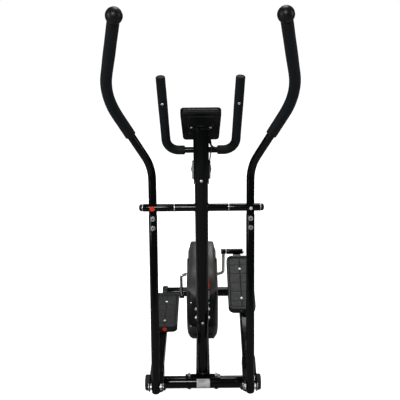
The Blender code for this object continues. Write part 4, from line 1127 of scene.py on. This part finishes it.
class TRAINER_OT_footplates(bpy.types.Operator):
    """Moulded footplates: raised rim, higher toe, grooved tread, two screws each"""

    bl_idname = "trainer.footplates"
    bl_label = "Footplates"

    def execute(self, context):
        for label, side in SIDES:
            slope = bar_slope(side)
            points, faces = self.tray(side)
            tray = (placed(points, FORK_CENTRE, slope), faces)
            low = (side * PLATE_X - 0.020, PLATE_START + 0.03, BAR_TOP - 0.001)
            high = (side * PLATE_X + 0.020, PLATE_END - 0.03, PLATE_LOW + 0.001)
            bracket = block(low, high, 0.0005, 0.002, "Z", FORK_CENTRE, slope)
            body = f"pedal_{label}"
            nodes = [f"footplate_{label}"]
            build(f"foot_tray_{label}", [tray], "moulded_polypropylene", body, nodes, sharp=50)
            build(f"tray_bracket_{label}", [bracket], "powder_coated_steel", body)
            screws = []
            for back in (0.072, 0.232):
                spot = (side * PLATE_X, PLATE_END - back, PLATE_SURFACE - 0.0002)
                where = placed(spot, FORK_CENTRE, slope)
                screws.append(screw_head(0.0062, 0.0026, where, "Z", 1, slope))
            build(f"tray_screws_{label}", screws, "zinc_plated_steel", body)
            spot = (side * (PLATE_X - 0.004), PLATE_START + 0.0004, 0.0545)
            face = placed(spot, FORK_CENTRE, slope)
            if side < 0:
                dot = rod(0.0090, -0.0006, 0.0006, face, "Y", -1, slope, 0.0002)
                build("tray_disc_L", [dot], "red_vinyl", body)
            else:
                dot = screw_head(0.0036, 0.0012, face, "Y", -1, slope)
                build("tray_screw_front_R", [dot], "zinc_plated_steel", body)
        return {"FINISHED"}

    def tray(self, side):
        """Sections along the plate; its top is surface + rim step - grooves, by distance to the edge."""
        corner, edge, rim_width, groove = 0.024, 0.0035, 0.0080, 0.0011
        depth = bpy.context.scene.trainer_sizes.groove_depth
        lines = PLATE_END - np.array((0.050, 0.099, 0.148, 0.197, 0.246, 0.275))
        fine = np.linspace(-2.6 * groove, 2.6 * groove, 7)
        ends = 0.030 * (1 - np.cos(np.linspace(0, math.pi / 2, 26)))
        along = np.concatenate((
            PLATE_START + ends, PLATE_END - ends, (lines[:, None] + fine[None]).ravel(),
            np.linspace(PLATE_START + 0.03, PLATE_END - 0.03, 60),
        ))
        along = np.unique(np.round(along, 6))
        rim = np.linspace(0, 0.016, 15)
        across = np.concatenate((
            -PLATE_HALF + rim, np.linspace(-0.040, -0.004, 16), fine,
            np.linspace(0.004, 0.040, 16), PLATE_HALF - rim[::-1],
        ))
        across = np.unique(np.round(across, 6)) / PLATE_HALF
        near = np.minimum(along - PLATE_START, PLATE_END - along)[:, None]
        short = np.clip(1 - near / corner, 0, 1)
        half = PLATE_HALF - corner * (1 - np.sqrt(1 - short**2))
        x = across[None] * half
        inner = np.maximum(np.abs(x) - (PLATE_HALF - corner), 0)
        round_off = np.hypot(inner, np.maximum(corner - near, 0))
        straight = np.minimum(PLATE_HALF - np.abs(x), near)
        inside = np.maximum(np.where((inner > 0) & (near < corner), corner - round_off, straight), 0)
        toe = np.clip(1 - (along[:, None] - PLATE_START) / 0.030, 0, 1)
        top = PLATE_RIM + (PLATE_TOE - PLATE_RIM) * toe**2 * (3 - 2 * toe)
        step = np.clip((inside - rim_width) / 0.004, 0, 1)
        step = step**2 * (3 - 2 * step)
        height = top + (PLATE_SURFACE - top) * step
        tread = np.clip((inside - 0.0155) / 0.002, 0, 1)
        cut = np.exp(-((((along[:, None, None] - lines) / groove) ** 2).min(axis=-1)))
        cut = np.maximum(cut, np.exp(-((x / groove) ** 2)))
        height = height - depth * cut * tread
        fall = np.clip(1 - inside / edge, 0, 1)
        height = height - edge * (1 - np.sqrt(1 - fall**2))
        down = np.linspace(0, 1, 5)[1:-1]
        wall = height[:, -1:] + (PLATE_LOW - height[:, -1:]) * down[None]
        under = np.linspace(1, -1, 9)
        upright = np.repeat(half, 3, axis=1)
        ring_x = np.concatenate((x, upright, half * under[None], -upright), axis=1)
        low = np.full((len(along), 9), PLATE_LOW)
        ring_z = np.concatenate((height, wall, low, wall[:, ::-1]), axis=1)
        ring_y = np.broadcast_to(along[:, None], ring_x.shape)
        return skin(np.stack((ring_x + side * PLATE_X, ring_y, ring_z), axis=-1))


class TRAINER_OT_crank(bpy.types.Operator):
    """One-piece bent crank with its bosses, and the round covers that turn with it"""

    bl_idname = "trainer.crank"
    bl_label = "Crank"

    def execute(self, context):
        bend = 0.016
        corners = [
            ((CRANK_ARM_X, 0, CRANK_R), 0), ((CRANK_ARM_X, 0, 0.010), bend),
            ((CRANK_ARM_X - 0.024, 0, 0), bend),
        ]
        other = [((-x, -y, -z), radius) for (x, y, z), radius in reversed(corners)]
        path = bent_path(corners + other, math.radians(6))
        points, faces = tube(path, CRANK_ROD_R, steps=32)
        bent = (placed(points, CRANK_CENTRE, CRANK_LEAN), faces)
        build("crank_rod", [bent], "chromed_steel", "crank", ["crank"])
        sides = (-1, 1)
        bosses = [pipe(0.0125, 0.0045, 0.0880, CRANK_BOSS_OUT, crank_end(side), "X", side) for side in sides]
        bosses += [rod(0.0046, 0.0885, 0.1080, crank_end(side), "X", side) for side in sides]
        build("crank_bosses", bosses, "powder_coated_steel", "crank")
        for label, side in SIDES:
            bore, face, back = 0.0073, 0.0714, 0.0666
            profile = eased((
                (bore, face), (0.030, face), (0.034, 0.0704), (0.060, 0.0704), (0.064, face),
                (COVER_R - 0.002, 0.0712), (COVER_R, 0.0690), (COVER_R, back), (bore, back), (bore, face),
            ), 0.0012)[:-1]
            cover = ring(profile, CRANK_CENTRE, "X", side, steps=96)
            # The covers' light, warm colour is a painted reflection.
            build(f"crank_disc_{label}", [cover], "satin_abs_painted_reflection", "crank", [f"crank_cover_{label}"])
        return {"FINISHED"}


class TRAINER_OT_housing(bpy.types.Operator):
    """Half shells of the housing, the centre panel over their joint, its stripes and screws"""

    bl_idname = "trainer.housing"
    bl_label = "Housing"

    def execute(self, context):
        angle = np.linspace(0, 2 * math.pi, 160, endpoint=False)[None, :]
        phi = np.linspace(0, math.pi / 2, 12)
        shoulder = HOUSING_FLAT + (HOUSING_HALF - HOUSING_FLAT) * np.sin(phi)
        x = np.concatenate(((0.0004, 0.015, 0.030), shoulder))[:, None]
        opening = COVER_R + 0.0015
        circle_y = CRANK[1] + opening * np.cos(angle)
        circle_z = CRANK[2] + opening * np.sin(angle)
        for label, side in SIDES:
            rings = housing_surface(angle, x)
            last = rings[-1]
            share = np.array((0.04, 0.10, 0.25, 0.5, 0.75, 0.96, 1.0))[:, None, None]
            target = np.stack((last[:, 0], circle_y[0], circle_z[0]), axis=-1)
            flank = last[None] + (target - last)[None] * share
            rings = np.concatenate((rings, flank)) * np.array((side, 1, 1))
            build(
                f"housing_shell_{label}", [skin(rings, capped=False)], "moulded_black_abs", "frame",
                [f"housing_{label}"], wall=0.0026,
            )
        self.panel()
        return {"FINISHED"}

    def panel(self):
        """Centre panel, band, stripes and screws, all laid on the housing's surface."""
        rows = np.concatenate((np.linspace(28, 152, 70), np.linspace(152, 166, 22)[1:]))
        width = np.interp(rows, (28, 34, 120, 152, 166), (0.050, 0.0600, 0.0620, 0.0620, 0.0030))[:, None]
        angle = np.radians(rows)[:, None]
        crown = housing_surface(angle, 0.0 * width, 0.0012)
        share = np.array((0, 0.62, 0.90, 0.975, 1.0))
        flat = np.concatenate((-share[::-1], share[1:]))[None, :]
        drop = np.array((0, 0, 0.02, 0.16, 0.45))
        drop = np.concatenate((drop[::-1], drop[1:]))[None, :, None]
        shoulder = housing_surface(angle, flat * width, 0.0012)
        level = np.broadcast_to(crown, shoulder.shape).copy()
        level[..., 0] = shoulder[..., 0]
        grid = level + (shoulder - level) * drop
        skirt = housing_surface(angle, np.array((-1.0, 1.0))[None, :] * (width + 0.0006), -0.0030)
        grid = np.concatenate((skirt[:, :1], grid, skirt[:, 1:]), axis=1)
        build("housing_centre_panel", [sheet_of(grid)], "housing_centre_abs", "frame", wall=0.0016, sharp=28)
        s = np.linspace(-1, 1, 41)[None, :]
        r = np.linspace(0, 1, 10)[:, None]
        turn = np.radians(190.5 + (1 - np.abs(s)) * 4.0 + r * 10.5)
        grid = housing_surface(turn, s * 0.0575, 0.0010)
        build("housing_band", [sheet_of(grid)], "moulded_grey_abs", "frame", wall=0.0016)
        self.stripe("red_stripe", 134.5, 150.5, 0.010, 0.0300, "red_vinyl")
        for number in range(4):
            start = 153.5 + number * 2.6
            self.stripe(f"pale_stripe_{number}", start, start + 1.6, 0.012, 0.0292, "white_vinyl")
        screws = []
        for x, turn in ((-0.047, 167.5), (0.0265, 167.5), (-0.049, 191.5)):
            where = housing_surface(np.array(math.radians(turn)), np.array(x), 0.0012)
            screws.append(screw_head(0.0040, 0.0022, where, "Y", -1))
        build("housing_screws", screws, "zinc_plated_steel", "frame")

    def stripe(self, name, start, end, low, high, finish):
        """A patch of the surface from start to end degrees, between two widths."""
        turn = np.radians(np.linspace(start, end, 14))[:, None]
        grid = housing_surface(turn, np.linspace(low, high, 6)[None, :], 0.0014)
        build(name, [sheet_of(grid)], finish, "frame", wall=0.0004)


class TRAINER_OT_inner(bpy.types.Operator):
    """Finishes of the drive inside the housing, kept as the frame holds it"""

    bl_idname = "trainer.inner"
    bl_label = "Inner drive"

    def execute(self, context):
        finishes = {
            "pivot_axle": "zinc_plated_steel", "crank_bearing_L": "zinc_plated_steel",
            "crank_bearing_R": "zinc_plated_steel", "flywheel_axle": "zinc_plated_steel",
            "flywheel": "machined_cast_iron", "drive_pulley": "moulded_grey_abs",
            "magnet_arm": "moulded_grey_abs", "drive_belt": "black_rubber",
        }
        for node, finish in finishes.items():
            mesh = frame["nodes"][node].data
            mesh.materials.clear()
            mesh.materials.append(material(finish))
        return {"FINISHED"}


# ---------------------------------------------------------------- studio


# Lamps: name, place, aim, width, watts, and height where one is a rectangle
LAMPS = (
    ("overhead", (0.2, 0.9, 4.0), (0, 0, 0.4), 1.6, 60),
    ("left_front", (-3.0, -1.8, 1.7), (0, 0, 0.8), 0.5, 44, 2.2),
    ("right_front", (3.2, -1.0, 1.9), (0, 0, 0.8), 0.35, 24, 2.2),
    ("front_high", (-0.5, -3.6, 3.0), (0, 0, 0.6), 0.9, 80),
    ("behind", (0.5, 3.6, 2.2), (0, 0, 0.6), 1.4, 20),
)

# Camera: distance before the front tube, height, then degrees down and degrees of roll
CAMERA_BACK = 2.11
CAMERA_HIGH = 1.428
CAMERA_PITCH = 16.5
CAMERA_ROLL = -0.48
CAMERA_LENS = 53.64
CAMERA_SHIFT = -0.00375


class TRAINER_OT_stage(bpy.types.Operator):
    """Pale floor, soft lights, camera"""

    bl_idname = "trainer.stage"
    bl_label = "Studio"

    def execute(self, context):
        colours = context.scene.trainer_colours
        radius = np.geomspace(0.05, 900, 30)[:, None]
        angle = np.linspace(0, 2 * math.pi, 64, endpoint=False)[None, :]
        level = np.float64(-0.0005)
        rings = np.stack(np.broadcast_arrays(radius * np.cos(angle), radius * np.sin(angle), level), -1)
        points, faces = skin(rings, capped=False)
        mesh = bpy.data.meshes.new("studio_floor")
        mesh.from_pydata(points.tolist(), [], faces + [list(range(64))])
        floor = bpy.data.objects.new("studio_floor", mesh)
        context.scene.collection.objects.link(floor)
        mesh.materials.append(self.floor_material(colours))
        self.world(context.scene)
        for lamp in LAMPS:
            self.lamp(*lamp)
        self.camera(context.scene)
        return {"FINISHED"}

    def floor_material(self, colours):
        """Pale floor that the camera sees nearly white, and that lights the metal only as a mid grey."""
        made = bpy.data.materials.new("pale_floor")
        made.use_nodes = True
        tree = made.node_tree
        shader = tree.nodes["Principled BSDF"]
        place = add(tree, "ShaderNodeTexCoord").outputs["Object"]
        patches = add(tree, "ShaderNodeTexNoise", Vector=place, Scale=0.8, Detail=2.0)
        duller = [value * 0.985 for value in colours.floor]
        colour = add(
            tree, "ShaderNodeMix", {"data_type": "RGBA"},
            _0=patches.outputs["Fac"], _6=(*colours.floor, 1.0), _7=(*duller, 1.0),
        )
        tree.links.new(colour.outputs[2], shader.inputs["Base Color"])
        shader.inputs["Roughness"].default_value = 0.9
        shader.inputs["Specular IOR Level"].default_value = 0.0
        glow = add(tree, "ShaderNodeEmission", Color=(1, 1, 1, 1), Strength=0.96)
        both = add(tree, "ShaderNodeAddShader", _0=shader.outputs["BSDF"], _1=glow.outputs["Emission"])
        dull = add(tree, "ShaderNodeBsdfDiffuse", Color=(0.38, 0.38, 0.38, 1))
        seen = add(tree, "ShaderNodeLightPath").outputs["Is Camera Ray"]
        split = add(tree, "ShaderNodeMixShader", _0=seen, _1=dull.outputs["BSDF"], _2=both.outputs["Shader"])
        tree.links.new(split.outputs["Shader"], tree.nodes["Material Output"].inputs["Surface"])
        return made

    def world(self, scene):
        """White to the camera, dim to everything else."""
        world = bpy.data.worlds.new("studio")
        world.use_nodes = True
        scene.world = world
        tree = world.node_tree
        background = tree.nodes["Background"]
        background.inputs["Color"].default_value = (1.0, 1.0, 1.0, 1.0)
        seen = add(tree, "ShaderNodeLightPath").outputs["Is Camera Ray"]
        strength = add(tree, "ShaderNodeMapRange", Value=seen, To_Min=0.10, To_Max=1.0)
        tree.links.new(strength.outputs["Result"], background.inputs["Strength"])
        scene.view_settings.view_transform = "Standard"

    def lamp(self, name, where, target, size, power, tall=None):
        """One area lamp aimed at target."""
        data = bpy.data.lights.new(name, "AREA")
        data.shape = "RECTANGLE" if tall else "DISK"
        data.size = size
        if tall:
            data.size_y = tall
        data.energy = power
        lamp = bpy.data.objects.new(name, data)
        lamp.location = where
        aim = np.array(target, float) - np.array(where, float)
        lamp.rotation_euler = (
            math.acos(-aim[2] / np.linalg.norm(aim)), 0, math.atan2(aim[1], aim[0]) - math.pi / 2,
        )
        bpy.context.scene.collection.objects.link(lamp)

    def camera(self, scene):
        """Camera before the machine, at about the height of its top, pitched down."""
        data = bpy.data.cameras.new("camera")
        data.lens = CAMERA_LENS
        data.sensor_width = 36.0
        data.shift_x = CAMERA_SHIFT
        camera = bpy.data.objects.new("camera", data)
        pitch = Matrix.Rotation(math.radians(90 - CAMERA_PITCH), 4, "X")
        roll = Matrix.Rotation(math.radians(CAMERA_ROLL), 4, "Z")
        camera.matrix_world = Matrix.Translation((0, FRONT[1] - CAMERA_BACK, CAMERA_HIGH)) @ pitch @ roll
        scene.collection.objects.link(camera)
        scene.camera = camera


# ---------------------------------------------------------------- settings and panel


def length(name, description, default, most=0.2):
    """A length setting in metres, shown in the scene's unit."""
    return FloatProperty(
        name=name, description=description, default=default, min=0.0001, max=most, unit="LENGTH", precision=4,
    )


class TrainerSizes(bpy.types.PropertyGroup):
    """Sizes that can be tried without moving a joint."""

    grip_radius: length("Grip radius", "Radius of the foam on the swing arms", GRIP_R)
    fixed_grip_radius: length("Fixed grip radius", "Radius of the foam on the fixed handlebar", FIXED_GRIP_R)
    ball_radius: length("Ball radius", "Radius of the balls on the swing arms", BALL_R)
    groove_depth: length("Groove depth", "Depth of the footplates' grooves", 0.0016, 0.004)


class TrainerColours(bpy.types.PropertyGroup):
    """Colours and gloss that can be tried."""

    foam: FloatVectorProperty(
        name="Foam", description="Lighter colour of the foam sleeves", subtype="COLOR", min=0, max=1,
        default=linear("#10161a")[:3],
    )
    floor: FloatVectorProperty(
        name="Floor", description="Colour of the studio floor", subtype="COLOR", min=0, max=1,
        default=(0.9, 0.9, 0.9),
    )
    paint_gloss: FloatProperty(
        name="Paint gloss", description="Weight of the clear coat on the painted tubes", subtype="FACTOR",
        min=0, max=1, default=0.14,
    )


PIECES = (
    TRAINER_OT_floor_frame, TRAINER_OT_stabilisers, TRAINER_OT_wheels, TRAINER_OT_post, TRAINER_OT_arms,
    TRAINER_OT_fixed_bar, TRAINER_OT_console, TRAINER_OT_tension, TRAINER_OT_pedal_bars,
    TRAINER_OT_footplates, TRAINER_OT_crank, TRAINER_OT_housing, TRAINER_OT_inner,
)


class TRAINER_PT_panel(bpy.types.Panel):
    """Lists the trainer's pieces and settings"""

    bl_idname = "TRAINER_PT_panel"
    bl_label = "Elliptical trainer"
    bl_space_type = "VIEW_3D"
    bl_region_type = "UI"
    bl_category = "Trainer"

    def draw(self, context):
        for settings in (context.scene.trainer_sizes, context.scene.trainer_colours):
            for name in settings.__annotations__:
                self.layout.prop(settings, name)
        for piece in (TRAINER_OT_stage, *PIECES):
            self.layout.operator(piece.bl_idname)


CLASSES = (TrainerSizes, TrainerColours, TRAINER_OT_stage, *PIECES, TRAINER_PT_panel)


def register():
    for item in CLASSES:
        bpy.utils.register_class(item)
    bpy.types.Scene.trainer_sizes = PointerProperty(type=TrainerSizes)
    bpy.types.Scene.trainer_colours = PointerProperty(type=TrainerColours)


def unregister():
    del bpy.types.Scene.trainer_sizes
    del bpy.types.Scene.trainer_colours
    for item in reversed(CLASSES):
        bpy.utils.unregister_class(item)


def main():
    register()
    bpy.ops.trainer.stage()
    for piece in PIECES:
        getattr(bpy.ops.trainer, piece.bl_idname.split(".")[1])()


if __name__ == "__main__":
    main()
